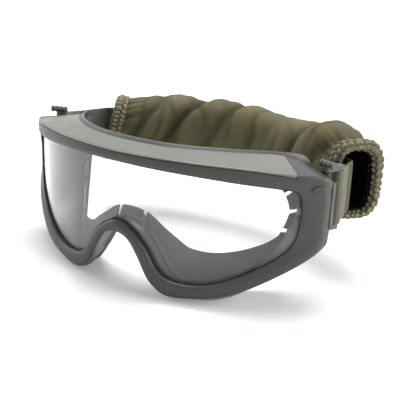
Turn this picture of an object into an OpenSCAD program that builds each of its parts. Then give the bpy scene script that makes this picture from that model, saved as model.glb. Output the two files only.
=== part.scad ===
// Safety goggles: a clear cylindrical lens in a moulded frame, a headband held by two
// swinging strap clips, and a cloth sleeve with gathered cuffs on the headband.
// +Z is up, the lens looks along -Y, and the wearer's head is on the +Y side.
// The floor is z = 0. The lens front is at y = 0 on the middle plane before placing.

/* [Frame] */
// Width of the frame across the temples
frame_w = 188; // [180:1:196]
// Height from the floor to the foot of the collar lip, at the middle
frame_h = 72.4; // [70:0.2:76]
// How far back the rear rim lies at the nose
nose_depth = 13; // [12:0.5:15]
// How much further back the rear rim lies 60 mm out
wrap_depth = 31; // [28:0.5:34]
// Wall of the moulded frame
wall_t = 2.5; // [2.1:0.1:2.8]
// Height of the collar lip over the top of the frame
lip_h = 2.6; // [1.5:0.1:3.5]
// Depth of the collar lip, front to back
lip_run = 3.5; // [2.5:0.1:4.5]

/* [Lens] */
// Radius of the cylindrical lens front
lens_r = 118; // [116:1:130]
// Thickness of the lens
lens_t = 2.2; // [1.8:0.1:2.6]
// Depth of the lens edge in its gasket
lens_grip = 2.2; // [1.6:0.1:2.4]
// Thickness of the gasket on each side of the lens
gasket_t = 0.8; // [0.6:0.05:0.9]

/* [Brow cap] */
// Half width of the cap over the brow, along its front edge
cap_half_w = 80; // [72:1:84]
// Thickness of the cap
cap_t = 1.2; // [0.9:0.1:1.5]

/* [Face seal] */
// Thickness of the eyecup flange
flange_t = 1.8; // [1.4:0.1:2.2]
// Width of the slits in the flange
slit_w = 1.6; // [1:0.1:2.2]
// Length of the slits in the flange
slit_len = 7; // [4:0.5:7.5]
// Thickness of the face foam
foam_t = 6; // [4:0.5:8]
// Least width of the foam pad
foam_w = 2.8; // [2.4:0.2:4]

/* [Strap clips] */
// Radius of the hinge pin
pin_r = 1.25; // [1:0.05:1.5]
// Running clearance of the hinge pin
pin_gap = 0.06; // [0.03:0.01:0.1]
// Outer radius of the hinge knuckle
knuckle_r = 2.6; // [2.4:0.1:2.9]
// Distance from the hinge pin to the strap bar
bar_reach = 7.8; // [7.4:0.1:9]
// Radius of the strap bar
bar_r = 1.4; // [1.1:0.1:1.6]
// Thickness of the two clip arms
arm_t = 2.4; // [1.8:0.1:2.8]
// Angle of the clip arms at rest, outwards from straight back
clip_rest = 27; // [15:1:35]
// Radius of the rivet shank
rivet_r = 1.2; // [0.9:0.1:1.5]

/* [Strap and sleeve] */
// Width of the elastic webbing
strap_w = 27.4; // [25:0.1:28]
// Thickness of the webbing
strap_t = 1.5; // [1.1:0.1:1.7]
// Height of the middle of the webbing over the floor
strap_z = 51.6; // [50.6:0.2:52.4]
// Radius of the arc in which the headband lies
band_r = 136; // [133:1:142]
// Angle of that arc from straight back to the right cuff
band_right = 39.6; // [38:0.2:40.4]
// Angle of that arc from straight back to the left cuff
band_left = 33.9; // [32:0.1:35]
// Half height of the cloth sleeve at its fullest
sleeve_hh = 19.8; // [19.4:0.2:22]
// Half thickness of the cloth sleeve at its fullest
sleeve_hw = 12.4; // [12:0.2:13.4]
// Wall of the sleeve as a solid
sleeve_wall = 1.2; // [0.8:0.1:1.4]
// Half height of the gathered cuffs, to the middle of the hem
cuff_hh = 19.5; // [19.4:0.1:20.5]
// Half width of the gathered cuffs, to the middle of the hem
cuff_hw = 12; // [11.9:0.1:12.6]
// Half thickness of the gathered hem
hem_r = 2.6; // [2:0.1:2.7]
// Half length of the gathered hem, along the sleeve
hem_l = 4.2; // [3:0.1:5]
// Lean of the left cuff, its lower side towards the temple
lean = 14; // [0:1:18]
// Ruffles round each cuff
ruffles = 20; // [14:1:24]
// Thickness of the elastic inside each cuff
elastic_t = 0.7; // [0.6:0.1:0.9]

/* [Hidden] */
$fn = 32;
seat = 0.05;        // clearance between pieces that seat on each other
lens_play = 0.15;   // clearance of the lens in the groove of its gasket
// The outlines below are drawn for a frame 188 wide and 72.4 high
kx = frame_w / 188;
kz = frame_h / 72.4;

// Stations round the frame, from the top middle over the temple to the nose:
// opening x z, silhouette x z, foot of the rear rim x z, inner edge of the flange x z,
// stand-out of the front face, shoulder, roll, lip, belly, rise of the outer edge
STATIONS = [
    [ 0.0, 65.8,  0.0, 71.8,  0.0, 72.4,  0.0, 65.0, 4.0, 1.0, 1.0, 1.0, 0.0, 0.0],
    [20.0, 65.4, 20.0, 71.9, 20.0, 72.4, 19.0, 64.9, 4.0, 1.0, 1.0, 1.0, 0.0, 0.0],
    [40.0, 64.5, 41.0, 71.5, 38.0, 72.0, 36.0, 64.0, 4.0, 1.0, 1.0, 1.0, 0.0, 0.0],
    [58.0, 62.8, 60.0, 70.6, 52.0, 71.0, 49.0, 62.0, 4.0, 1.0, 1.0, 0.9, 0.0, 0.0],
    [73.0, 60.9, 77.0, 68.3, 62.0, 69.6, 57.0, 59.0, 3.7, 1.5, 1.0, 0.8, 0.0, 0.0],
    [80.4, 58.6, 91.2, 65.2, 68.5, 67.0, 61.5, 55.5, 2.6, 4.0, 1.6, 0.7, 0.0, 0.0],
    [82.2, 52.0, 93.6, 57.0, 71.0, 60.0, 64.0, 50.0, 1.6, 4.8, 4.0, 0.5, 0.0, 0.0],
    [82.1, 44.0, 93.8, 47.5, 71.5, 50.0, 65.6, 43.5, 1.5, 4.8, 4.0, 0.5, 0.0, 0.0],
    [80.3, 34.0, 92.6, 36.5, 71.0, 39.0, 65.9, 36.0, 1.6, 3.8, 3.0, 0.5, 0.0, 0.4],
    [74.4, 26.0, 87.6, 26.7, 68.0, 27.5, 63.8, 30.5, 1.8, 1.6, 1.8, 0.4, 0.0, 1.8],
    [63.4, 18.1, 74.0, 16.0, 62.0, 15.0, 58.5, 25.0, 2.2, 1.0, 1.0, 0.4, 0.6, 1.3],
    [52.2, 12.4, 58.0,  7.0, 53.0,  4.0, 50.0, 22.0, 3.0, 1.0, 1.0, 0.4, 2.2, 0.3],
    [41.0,  9.7, 43.0,  3.4, 42.0,  0.9, 40.5, 21.3, 3.0, 1.0, 1.0, 0.4, 2.6, 0.0],
    [29.5, 10.3, 28.5,  2.4, 30.0,  1.6, 31.0, 23.2, 3.0, 1.0, 1.0, 0.4, 2.0, 0.0],
    [22.5, 14.8, 19.2,  8.5, 21.0,  9.5, 25.5, 27.0, 3.0, 1.0, 1.0, 0.3, 0.0, 0.0],
    [16.2, 24.9, 12.6, 20.0, 14.0, 20.5, 18.5, 32.0, 3.0, 1.0, 1.0, 0.2, 0.0, 0.0],
    [ 8.8, 32.2,  7.0, 27.6,  8.0, 28.5, 10.0, 37.8, 3.0, 1.0, 1.0, 0.2, 0.0, 0.0],
    [ 0.0, 36.0,  0.0, 30.0,  0.0, 31.5,  0.0, 39.5, 3.0, 1.0, 1.0, 0.2, 0.0, 0.0]];
OPENING = 0;
SILHOUETTE = 2;
REAR = 4;
EDGE = 6;
last = len(STATIONS) - 1;

// A station past either end is the mirror image of its partner
function flip(r) = [for (i = [0:len(r) - 1]) i < 8 && i % 2 == 0 ? -r[i] : r[i]];
function scaled(r) = [for (i = [0:len(r) - 1]) i < 8 ? r[i] * (i % 2 == 0 ? kx : kz) : r[i]];
function station(i) = i < 0 ? flip(scaled(STATIONS[-i]))
    : i > last ? flip(scaled(STATIONS[2 * last - i])) : scaled(STATIONS[i]);
// Smooth curve through the four stations or points round a parameter
function smooth(a, b, c, d, f) = 0.5 * (2 * b + (c - a) * f
    + (2 * a - 5 * b + 4 * c - d) * f * f + (3 * b - a - 3 * c + d) * f * f * f);
function at(t) = let (i = floor(t))
    smooth(station(i - 1), station(i), station(i + 1), station(i + 2), t - i);
function mix(a, b, f) = a + (b - a) * f;
// Outward normal of one of the outlines, in the plane of the front view
function normal(t, k) = let (p = at(t - 0.02), q = at(t + 0.02),
    d = [q[k] - p[k], q[k + 1] - p[k + 1]]) [-d[1], d[0]] / norm(d);
function lens_y(x) = lens_r - sqrt(lens_r * lens_r - x * x);
function face_y(x) = nose_depth + wrap_depth * pow(abs(x) / (60 * kx), 2.6);
// A point of the front view, moved out along a normal and set at a depth
function out(s, k, n, d) = [s[k] + n[0] * d, s[k + 1] + n[1] * d];
function on_lens(q, dy) = [q[0], lens_y(q[0]) + dy, q[1]];
// The same at a depth square to the surface of the lens
function on_shell(q, d) = [q[0], lens_r - sqrt(pow(lens_r - d, 2) - q[0] * q[0]), q[1]];
function on_face(q, dy) = [q[0], face_y(q[0]) + dy, q[1]];
// Nothing of the frame reaches under the floor
function floored(p) = [p[0], p[1], max(p[2], 0)];

// Half of the frame's stations, with a close pair where the brow cap ends
half_steps = 38;
seam_t = 4 + (cap_half_w - 77) / 14;
TS = [for (i = [0:half_steps]) let (t = i * last / half_steps)
    each abs(t - seam_t) < last / half_steps / 2 ? [seam_t - 0.02, seam_t + 0.02] : [t]];
function mirrored(ring) = [for (p = ring) [-p[0], p[1], p[2]]];
function all_round(half) = concat(half,
    [for (i = [len(half) - 2:-1:1]) mirrored(half[i])]);

// Closed band of rings: the last ring joins the first one again
module ring_loft(rings) {
    n = len(rings);
    m = len(rings[0]);
    polyhedron(points = [for (r = rings) each r],
        faces = [for (i = [0:n - 1], j = [0:m - 1])
            let (a = i * m + j, b = i * m + (j + 1) % m,
                c = ((i + 1) % n) * m + (j + 1) % m, d = ((i + 1) % n) * m + j)
            each [[a, b, c], [a, c, d]]], convexity = 8);
}
// Open band of rings, each end closed with the triangles given
module strip_loft(rings, ends) {
    n = len(rings);
    m = len(rings[0]);
    polyhedron(points = [for (r = rings) each r],
        faces = concat([for (i = [0:n - 2], j = [0:m - 1])
            let (a = i * m + j, b = i * m + (j + 1) % m, c = (i + 1) * m + (j + 1) % m,
                d = (i + 1) * m + j) each [[a, b, c], [a, c, d]]],
            [for (f = ends) [f[2], f[1], f[0]]],
            [for (f = ends) [for (k = f) (n - 1) * m + k]]), convexity = 8);
}

// Where the temple hardware stands
temple_x = 94 * kx;
pocket_y = lens_y(temple_x) - 2.6;
mount_t = 3;
pin_x = 84.5 * kx;
pin_y = pocket_y + mount_t + knuckle_r + 0.9;
bar_x = pin_x + bar_reach * sin(clip_rest);
bar_y = pin_y + bar_reach * cos(clip_rest);
strap_lo = strap_z - strap_w / 2;
strap_hi = strap_z + strap_w / 2;

// Share of the rear of the temple that is flat, for the hinge mount
function flatness(t) = min(1, max(0, (t - 4.9) / 0.4), max(0, (10 - t) / 1.6));
// Outer surface of the frame, front face to rear rim
function outer_skin(t) = let (s = at(t), o = normal(t, SILHOUETTE), b = normal(t, REAR),
    g = normal(t, OPENING),
    front = on_lens(out(s, OPENING, g, 1.5), -s[8]),
    crown = on_lens((out(s, OPENING, g, 0) + out(s, SILHOUETTE, o, 0)) / 2,
        -s[8] - 0.2 - 0.7 * s[13]),
    rim = -s[8] - s[13],
    shoulder = on_lens(out(s, SILHOUETTE, o, -s[9]), rim),
    corner = on_lens(out(s, SILHOUETTE, o, -0.3 * s[9]), rim + 0.35 * s[10]),
    edge = on_lens(out(s, SILHOUETTE, o, 0), rim + s[10]),
    foot = on_face(out(s, REAR, b, 0), -lip_run - 0.5),
    w1 = mix(edge, foot, 0.4) + [o[0], 0, o[1]] * s[12],
    w2 = mix(edge, foot, 0.75) + [o[0], 0, o[1]] * s[12],
    pocket1 = [temple_x - 2 * kx, pocket_y, w1[2]],
    pocket2 = [pin_x - 5 * kx, pocket_y, w2[2]], w = flatness(t))
    [front, crown, shoulder, corner, edge, mix(w1, pocket1, w), mix(w2, pocket2, w), foot,
        on_face(out(s, REAR, b, lip_h * s[11]), -1.2),
        on_face(out(s, REAR, b, lip_h * s[11] - 0.3), 0)];

// Depth of the brow cap's bed at a station
function bed(t) = t < seam_t ? cap_t : 0;
function frame_ring(t) = let (s = at(t), g = normal(t, OPENING), b = normal(t, REAR),
    k = outer_skin(t), d = bed(t), grip = lens_grip + gasket_t + 2 * seat,
    back = lens_t + gasket_t + seat,
    inner = on_face(out(s, REAR, b, -wall_t), -lip_run - 0.5),
    behind = on_shell(out(s, OPENING, g, 1.6), back + 1.7))
    [for (p = [on_lens(out(s, OPENING, g, 0), -gasket_t - seat),
        on_lens(out(s, OPENING, g, 0.3), -0.7 * s[8]),
        k[0], k[1], k[2], k[3] + [0, 0.4 * d, -0.7 * d], k[4] + [0, 0.3 * d, -d],
        k[5] + [0, 0, -d], k[6], k[7], k[8], k[9],
        on_face(out(s, REAR, b, lip_h * s[11] - wall_t), 0), inner,
        mix(behind, inner, 0.5), behind,
        on_shell(out(s, OPENING, g, 0), back + 0.8),
        on_shell(out(s, OPENING, g, 0), back),
        on_shell(out(s, OPENING, g, grip), back),
        on_lens(out(s, OPENING, g, grip), -gasket_t - seat)]) floored(p)];

module front_frame() {
    color("#63675c") difference() {
        ring_loft(all_round([for (t = TS) frame_ring(t)]));
        for (side = [-1, 1]) {
            rivet_hole(side);
            vent_slot(side);
            hinge_room(side);
        }
    }
}

rivet_x = 88 * kx;
rivet_z = 60 * kz;
head_r = 1.9;
head_floor = lens_y(rivet_x) + 0.8;    // how deep the head of the rivet sits in the temple
module along_y(x, z, from, to, r) translate([x, from, z]) rotate([-90, 0, 0])
    cylinder(r = r, h = to - from);
module rivet_hole(side) {
    along_y(side * rivet_x, rivet_z, 0, pocket_y + mount_t + 5, rivet_r + seat);
    along_y(side * rivet_x, rivet_z, 20, head_floor + seat, head_r + seat);
}
// Room for the knuckles and the clip's arms to turn in
module hinge_room(side) translate([side * pin_x, pin_y, strap_lo - arm_t - 1])
    cylinder(r = knuckle_r + 0.4, h = strap_w + 2 * arm_t + 4);

// Slots through the floor of the frame, which the vent foam fills
vent_x = 42 * kx;
vent_y = 15;
vent_w = 15;
vent_d = 4.5;
module vent_slot(side) translate([side * vent_x - vent_w / 2, vent_y, -1])
    cube([vent_w, vent_d, 7]);

module brow_cap() {
    lift = [0, -0.03, 0.06];
    half = [for (t = TS) if (t < seam_t) let (k = outer_skin(t), d = cap_t,
        a = k[3] + [0, 0.4 * d, -0.7 * d], b = k[4] + [0, 0.3 * d, -d], c = k[5] - [0, 0, d])
        [mix(k[2], k[3], 0.4) + lift, k[3], k[4], k[5], mix(k[5], k[6], 0.7),
            mix(c, k[6], 0.7) + lift, c + lift, b + lift, a + lift]];
    ends = [[0, 1, 8], [1, 2, 8], [2, 7, 8], [2, 3, 7], [3, 6, 7], [3, 4, 6], [4, 5, 6]];
    color("#6d7166") strip_loft(concat([for (i = [len(half) - 1:-1:1]) mirrored(half[i])],
        half), ends);
}

module lens() {
    pts = [for (r = all_round([for (t = TS) let (q = out(at(t), OPENING,
        normal(t, OPENING), lens_grip)) [[q[0], 0, q[1]]]])) [r[0][0], r[0][2]]];
    color([0.86, 0.88, 0.9, 0.35]) intersection() {
        translate([0, lens_r / 2, 0]) rotate([90, 0, 0]) linear_extrude(lens_r / 2 + 1)
            polygon(pts);
        translate([0, lens_r, 0]) difference() {
            cylinder(r = lens_r, h = 2 * frame_h, $fn = 180);
            translate([0, 0, -1]) cylinder(r = lens_r - lens_t, h = 2 * frame_h + 2, $fn = 180);
        }
    }
}

module lens_gasket() {
    deep = lens_grip + gasket_t;
    color("#1b1b1b") ring_loft(all_round([for (t = TS) let (s = at(t),
        g = normal(t, OPENING)) [
            on_lens(out(s, OPENING, g, -0.5), -gasket_t),
            on_lens(out(s, OPENING, g, deep), -gasket_t),
            on_shell(out(s, OPENING, g, deep), lens_t + gasket_t),
            on_shell(out(s, OPENING, g, -0.5), lens_t + gasket_t),
            on_shell(out(s, OPENING, g, -0.5), lens_t + lens_play),
            on_shell(out(s, OPENING, g, lens_grip + lens_play), lens_t + lens_play),
            on_lens(out(s, OPENING, g, lens_grip + lens_play), -lens_play),
            on_lens(out(s, OPENING, g, -0.5), -lens_play)]]));
}

// Soft eyecup that lines the rear rim and reaches in to the face
module face_flange() {
    skirt = lip_run + 0.4;
    color("#3f4042") difference() {
        ring_loft(all_round([for (t = TS) let (s = at(t), b = normal(t, REAR),
            o = out(s, REAR, b, -wall_t - seat), i = out(s, REAR, b, -wall_t - flange_t),
            e = [s[EDGE], s[EDGE + 1]], m = mix(o, e, 0.5))
            [for (p = [on_face(o, -skirt), on_face(o, -0.4), on_face(m, -0.3),
                on_face(e, -0.3), on_face(e, -0.3 - flange_t), on_face(m, -0.3 - flange_t),
                on_face(i, -0.6 - flange_t), on_face(i, -skirt)]) floored(p)]]));
        for (s = SLITS) {
            slit(s);
            mirror([1, 0, 0]) slit(s);
        }
    }
}
// Slits of the right half, each as x and z at the edge of the flange, tilt and turn.
// They cut the reach of the flange and leave its skirt whole.
SLITS = [[8, 38, -75, 0], [64.5, 50, 158, -56], [66, 41, 180, -56], [65, 31.5, -160, -56]];
module slit(s)
    translate([s[0] * kx, face_y(s[0] * kx), s[1] * kz]) rotate([0, 0, -s[3]])
        rotate([0, s[2], 0]) translate([-slit_len, -(flange_t + 0.4) * cos(s[3]), -slit_w / 2])
            cube([slit_len + 2, 9, slit_w]);

// Foam pad on the rear of the flange, crowned where it meets the face
module face_foam() {
    color("#2c2d2f") ring_loft(all_round([for (t = TS) let (s = at(t),
        b = normal(t, REAR), o = out(s, REAR, b, -0.6), e = out(s, EDGE, normal(t, EDGE), 0),
        w = norm(e - o), k = max(foam_w, w - slit_len - 0.6) / w)
        [for (q = [[0, 0], [0.05, 0.6], [0.3, 0.95], [0.6, 1], [0.9, 0.7], [1, 0]])
            floored(on_face(mix(o, e, q[0] * k), 0.15 + q[1] * foam_t))]]));
}

module vent_foam(side) {
    color("#3a3b3c") translate([side * vent_x - vent_w / 2 + seat, vent_y + seat, 0.6])
        cube([vent_w - 2 * seat, vent_d - 2 * seat, 1.6]);
}
module vent_foam_left() vent_foam(-1);
module vent_foam_right() vent_foam(1);

// Block on the rear of the temple with the fixed hinge knuckle
mount_w = 11.2 * kx;
mount_top = rivet_z + 2.2;
module hinge_mount() {
    color("#4b4e47") difference() {
        union() {
            translate([pin_x - 4 * kx, pocket_y + seat, strap_lo + 2])
                cube([mount_w, mount_t - seat, mount_top - strap_lo - 2]);
            translate([pin_x - knuckle_r, pocket_y + mount_t - 0.5, strap_lo + 2])
                cube([2 * knuckle_r, knuckle_r + 1.4, strap_w - 4]);
            translate([pin_x, pin_y, strap_lo + 0.3])
                cylinder(r = knuckle_r, h = strap_w - 0.6);
        }
        translate([pin_x, pin_y, strap_lo - 1]) cylinder(r = pin_r + 0.01, h = strap_w + 2);
        rivet_hole(1);
        along_y(rivet_x, rivet_z, pocket_y + mount_t, pin_y, tail_r + seat);
    }
}
module hinge_mount_left() mirror([1, 0, 0]) hinge_mount();
module hinge_mount_right() hinge_mount();

// Rivet that holds the mount, its round head in the front of the temple
tail_r = 2.1;
head_out = 2.3;     // how far the head stands out from the curve of the lens
module mount_rivet() color("#585c53") {
    intersection() {
        along_y(rivet_x, rivet_z, 20, head_floor, head_r);
        translate([0, lens_r, 0]) cylinder(r = lens_r + head_out, h = frame_h, $fn = 180);
    }
    along_y(rivet_x, rivet_z, head_floor - 0.1, pocket_y + mount_t + seat + 0.1, rivet_r);
    along_y(rivet_x, rivet_z, pocket_y + mount_t + seat, pocket_y + mount_t + 0.8, tail_r);
}
module mount_rivet_left() mirror([1, 0, 0]) mount_rivet();
module mount_rivet_right() mount_rivet();

module hinge_pin() {
    color("#24262a") translate([pin_x, pin_y, strap_lo - arm_t - 0.8]) {
        cylinder(r = pin_r, h = strap_w + 2 * arm_t + 0.1);
        cylinder(r = pin_r + 0.7, h = 0.75);
    }
}
module hinge_pin_left() mirror([1, 0, 0]) hinge_pin();
module hinge_pin_right() hinge_pin();

// Swinging clip: two arms on the pin, the strap bar between them and a ribbed thumb tab
module strap_clip() {
    color("#43464a") union() {
        difference() {
            for (z = [strap_lo - arm_t, strap_hi]) translate([0, 0, z])
                linear_extrude(arm_t) clip_arm();
            translate([pin_x, pin_y, strap_lo - arm_t - 1])
                cylinder(r = pin_r + pin_gap, h = strap_w + 2 * arm_t + 1);
        }
        translate([bar_x, bar_y, strap_lo - arm_t / 2])
            cylinder(r = bar_r, h = strap_w + arm_t);
        translate([pin_x, pin_y, strap_hi + arm_t + tab_r - 0.6]) rotate([0, 0, tab_turn])
            thumb_tab();
    }
}
// Two round ends joined along their common tangents
module clip_arm() {
    end_r = bar_r + 0.5;
    k = asin((knuckle_r - end_r) / bar_reach);
    translate([pin_x, pin_y]) rotate(90 - clip_rest) polygon(concat(
        [for (i = [0:18]) let (a = 90 - k + i * (180 + 2 * k) / 18)
            knuckle_r * [cos(a), sin(a)]],
        [for (i = [0:10]) let (a = k - 90 + i * (180 - 2 * k) / 10)
            [bar_reach, 0] + end_r * [cos(a), sin(a)]]));
}
tab_len = 8.6;
tab_r = 1.8;
tab_turn = -20;
tab_ribs = 4;
module thumb_tab() {
    rib = 1.1;
    $fn = 12;
    translate([-tab_len / 2 + 1, 0, 0]) rotate([0, 90, 0]) {
        cylinder(r = tab_r - 0.35, h = tab_len);
        for (i = [0:tab_ribs - 1]) translate([0, 0, i * (tab_len - rib) / (tab_ribs - 1)])
            cylinder(r = tab_r, h = rib);
    }
}
module strap_clip_left() mirror([1, 0, 0]) strap_clip();
module strap_clip_right() strap_clip();

// The sleeve follows an arc in plan, from the right cuff round the back to the left cuff
// and its right end keeps this far behind the temple pocket, whatever the arc's radius
cuff_back = 39.34;
arc_x = -0.7 * kx;
arc_y = pocket_y + cuff_back - band_r * cos(band_right);
function bearing(u) = mix(band_right, -band_left, u);
// Share of the arc that a length along it takes
function share(l) = l / band_r * 180 / PI / (band_right + band_left);
function arc_point(b, r) = [arc_x + r * sin(b), arc_y + r * cos(b)];
// A point of the sleeve: away from the head, up, and on towards the left cuff
function leaning(u) = lean * pow(sin(90 * min(1, max(0, (u - 0.7) * 4))), 2);
function cloth_pt(u, away, up, on) = let (b = bearing(u), k = leaning(u),
    q = arc_point(b, band_r + away), f = on * cos(k) - up * sin(k))
    [q[0] - f * cos(b), q[1] + f * sin(b), cloth_z(u) + up * cos(k) + on * sin(k)];
// The sleeve sags a little from the right cuff to the middle of the arc
function cloth_z(u) = strap_z + mix(0.8, -0.2, sin(90 * min(1, 2 * u)));
band_in = 5;        // how far the headband lies on the head side of the sleeve's middle

// Where the headband comes out of the mouth of a cuff, on its way to the strap bar
mouth_out = hem_l + 0.8;
function mouth(b, side) = arc_point(b, band_r - band_in)
    + side * mouth_out * [cos(b), -sin(b)];
MOUTH_RIGHT = mouth(band_right, 1);
MOUTH_LEFT = mouth(-band_left, -1);
BAR_RIGHT = [bar_x, bar_y];
BAR_LEFT = [-bar_x, bar_y];

// Webbing in the plan, standing on edge at the height of the strap
module webbing() color("#787052") translate([0, 0, strap_lo + seat])
    linear_extrude(strap_w - 2 * seat) children();
// Frame of reference on the line from a strap bar to a mouth
module towards(bar, mouth) {
    d = mouth - bar;
    translate(bar) rotate(atan2(d[1], d[0])) children();
}
// End of the webbing, folded round the bar and sewn onto itself
loop_len = 10;
loop_gap = 0.15;
module strap_loop(bar, mouth) webbing() towards(bar, mouth) difference() {
    union() {
        circle(bar_r + loop_gap + strap_t);
        translate([0, -strap_t]) square([loop_len, 2 * strap_t]);
    }
    circle(bar_r + loop_gap);
}
module strap_loop_left() strap_loop(BAR_LEFT, MOUTH_LEFT);
module strap_loop_right() strap_loop(BAR_RIGHT, MOUTH_RIGHT);
// Free webbing between the sewn loop and the mouth
bend_room = 1;      // left free before the mouth, where the webbing bends
module strap_run(bar, mouth) webbing() towards(bar, mouth)
    translate([loop_len + seat, -strap_t / 2])
        square([norm(mouth - bar) - loop_len - bend_room, strap_t]);
module strap_run_left() strap_run(BAR_LEFT, MOUTH_LEFT);
module strap_run_right() strap_run(BAR_RIGHT, MOUTH_RIGHT);

// A stretch of the arc, as a ring section of a given thickness and height
module arc_piece(from, to, t, h) translate([arc_x, arc_y, strap_z - h / 2])
    rotate([0, 0, 90 - to]) rotate_extrude(angle = to - from, $fn = 120)
        translate([band_r - band_in - t / 2, 0]) square([t, h]);
band_lap = 0.3;     // how far the straight ends reach into the arc
module band_end(b, side) color("#787052") translate([0, 0, strap_lo + seat])
    translate(arc_point(b, band_r - band_in)) rotate([0, 0, -b])
        translate([side > 0 ? -band_lap : -mouth_out, -strap_t / 2 + 0.02, 0])
            cube([mouth_out + band_lap, strap_t - 0.04, strap_w - 2 * seat]);
module headband() {
    color("#787052") arc_piece(-band_left, band_right, strap_t, strap_w - 2 * seat);
    band_end(band_right, 1);
    band_end(-band_left, -1);
}

// Adjuster on the headband, free to be pushed along it
slider_l = 12;
slider_t = 3.6;
slider_bar = 2.2;
module band_slider(b) {
    half = slider_l / 2 / band_r * 180 / PI;
    bar = slider_bar / band_r * 180 / PI;
    color("#26282b") difference() {
        arc_piece(b - half, b + half, slider_t, strap_w + 3.4);
        arc_piece(b - half - 1, b + half + 1, strap_t + 0.7, strap_w + 0.5);
        arc_piece(b - half + bar, b - bar / 2, slider_t + 2, strap_w - 2);
        arc_piece(b + bar / 2, b + half - bar, slider_t + 2, strap_w - 2);
    }
}
module band_slider_left() band_slider(-8);
module band_slider_right() band_slider(16);

// Cloth sleeve: a soft tube with diagonal folds on its outer side, drawn in at both cuffs
sleeve_rings = 34;
sleeve_sides = 14;
function fullness(u) = pow(sin(180 * u), 0.5);
// Main folds, which lean towards the right cuff as they rise
function fold(u, a) = sin(180 * u)
    * (1.1 + 1.1 * sin(360 * (6.2 * u + 0.53 * sin(a)) + 40)
        + 0.4 + 0.4 * sin(360 * (2.3 * u - 0.2 * sin(a)) + 200));
function bulge(v) = sign(v) * pow(abs(v), 0.7);
function sleeve_pt(u, a, inset) = let (f = fullness(u),
    hw = mix(cuff_hw, sleeve_hw, f) - inset, hh = mix(cuff_hh, sleeve_hh, f) - inset)
    cloth_pt(u, hw * bulge(cos(a)) + fold(u, a) * cos(a),
        hh * bulge(sin(a)) + fold(u, a) * sin(a), 0);
sleeve_end = share((hem_l + 0.1) * band_r / (band_r - cuff_hw - hem_r));
function sleeve_u(i) = mix(sleeve_end, 1 - sleeve_end, i / sleeve_rings);
function sleeve_ring(i, inset) = [for (j = [0:sleeve_sides - 1])
    sleeve_pt(sleeve_u(i), 360 * j / sleeve_sides, inset)];
module sleeve() {
    color("#6b6447") ring_loft(concat([for (i = [0:sleeve_rings]) sleeve_ring(i, 0)],
        [for (i = [sleeve_rings:-1:0]) sleeve_ring(i, sleeve_wall)]));
}

// Gathered cuff: a hem with two rows of ruffles round the mouth of the sleeve
cuff_steps = 60;
HEM = [[0.7, 0], [1, 0.55], [0.5, 1], [-0.5, 1], [-1, 0.55], [-0.7, 0], [-1, -0.55],
    [-0.5, -1], [0.5, -1], [1, -0.55]];
function squarish(v) = sign(v) * pow(abs(v), 0.6);
function oval_pt(a, d) = [(cuff_hw + d) * squarish(cos(a)), (cuff_hh + d) * squarish(sin(a))];
function cuff_angle(i) = 360 * i / cuff_steps;
function ruffle(a, row) = hem_r - 0.35 + 0.35 * sin(a * ruffles + 90 * row);
function cuff_ring(u, a) = [for (h = HEM) let (p = oval_pt(a, h[0] * ruffle(a, sign(h[1]))))
    cloth_pt(u, p[0], p[1], h[1] * hem_l)];
module cuff(u) color("#5d573c")
    ring_loft([for (i = [cuff_steps:-1:1]) cuff_ring(u, cuff_angle(i))]);
module cuff_left() cuff(1);
module cuff_right() cuff(0);

// Flat elastic that lines the hem and draws it in
elastic_w = 5;
module elastic_outline(d) polygon([for (a = [351:-9:0]) oval_pt(a, d)]);
module cuff_elastic(u) {
    c = arc_point(bearing(u), band_r);
    color("#1f1f1f") translate([c[0], c[1], cloth_z(u)])
        rotate([0, 0, 180 - bearing(u)])
        rotate([0, -leaning(u), 0]) rotate([90, 0, 90]) translate([0, 0, -elastic_w / 2])
            linear_extrude(elastic_w) difference() {
                elastic_outline(-hem_r - seat);
                elastic_outline(-hem_r - seat - elastic_t);
            }
}
module cuff_elastic_left() cuff_elastic(1);
module cuff_elastic_right() cuff_elastic(0);

// The row's origin is the middle of the bottom of the whole part's box
frame_reach = max([for (t = TS, p = outer_skin(t)) p[0]]);
cuff_reach = max([for (i = [1:cuff_steps], p = cuff_ring(0, cuff_angle(i))) p[0]]);
sleeve_reach = max([for (i = [0:sleeve_rings], p = sleeve_ring(i, 0)) p[1]]);
box_x = (cuff_reach - frame_reach) / 2;
box_y = (sleeve_reach - STATIONS[0][8] - 0.2) / 2;
module place() translate([-box_x, -box_y, 0]) children();

place() front_frame();
place() brow_cap();
place() lens();
place() lens_gasket();
place() face_flange();
place() face_foam();
place() vent_foam_left();
place() vent_foam_right();
place() hinge_mount_left();
place() hinge_mount_right();
place() mount_rivet_left();
place() mount_rivet_right();
place() hinge_pin_left();
place() hinge_pin_right();
place() strap_clip_left();
place() strap_clip_right();
place() strap_loop_left();
place() strap_loop_right();
place() strap_run_left();
place() strap_run_right();
place() headband();
place() band_slider_left();
place() band_slider_right();
place() sleeve();
place() cuff_left();
place() cuff_right();
place() cuff_elastic_left();
place() cuff_elastic_right();
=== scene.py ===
"""Safety goggles: surfaces, materials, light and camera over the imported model.

Every length in the classes is in millimetres, in the drawing's own frame: +Z is up, the
lens looks along -Y, and the front of the lens touches y = 0 on the middle plane.
Plan.to_row carries points from there into the row's frame, in metres.
"""

import logging
import math
from dataclasses import dataclass
from enum import Enum

import bpy
import numpy as np
from mathutils import Matrix, Vector


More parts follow.
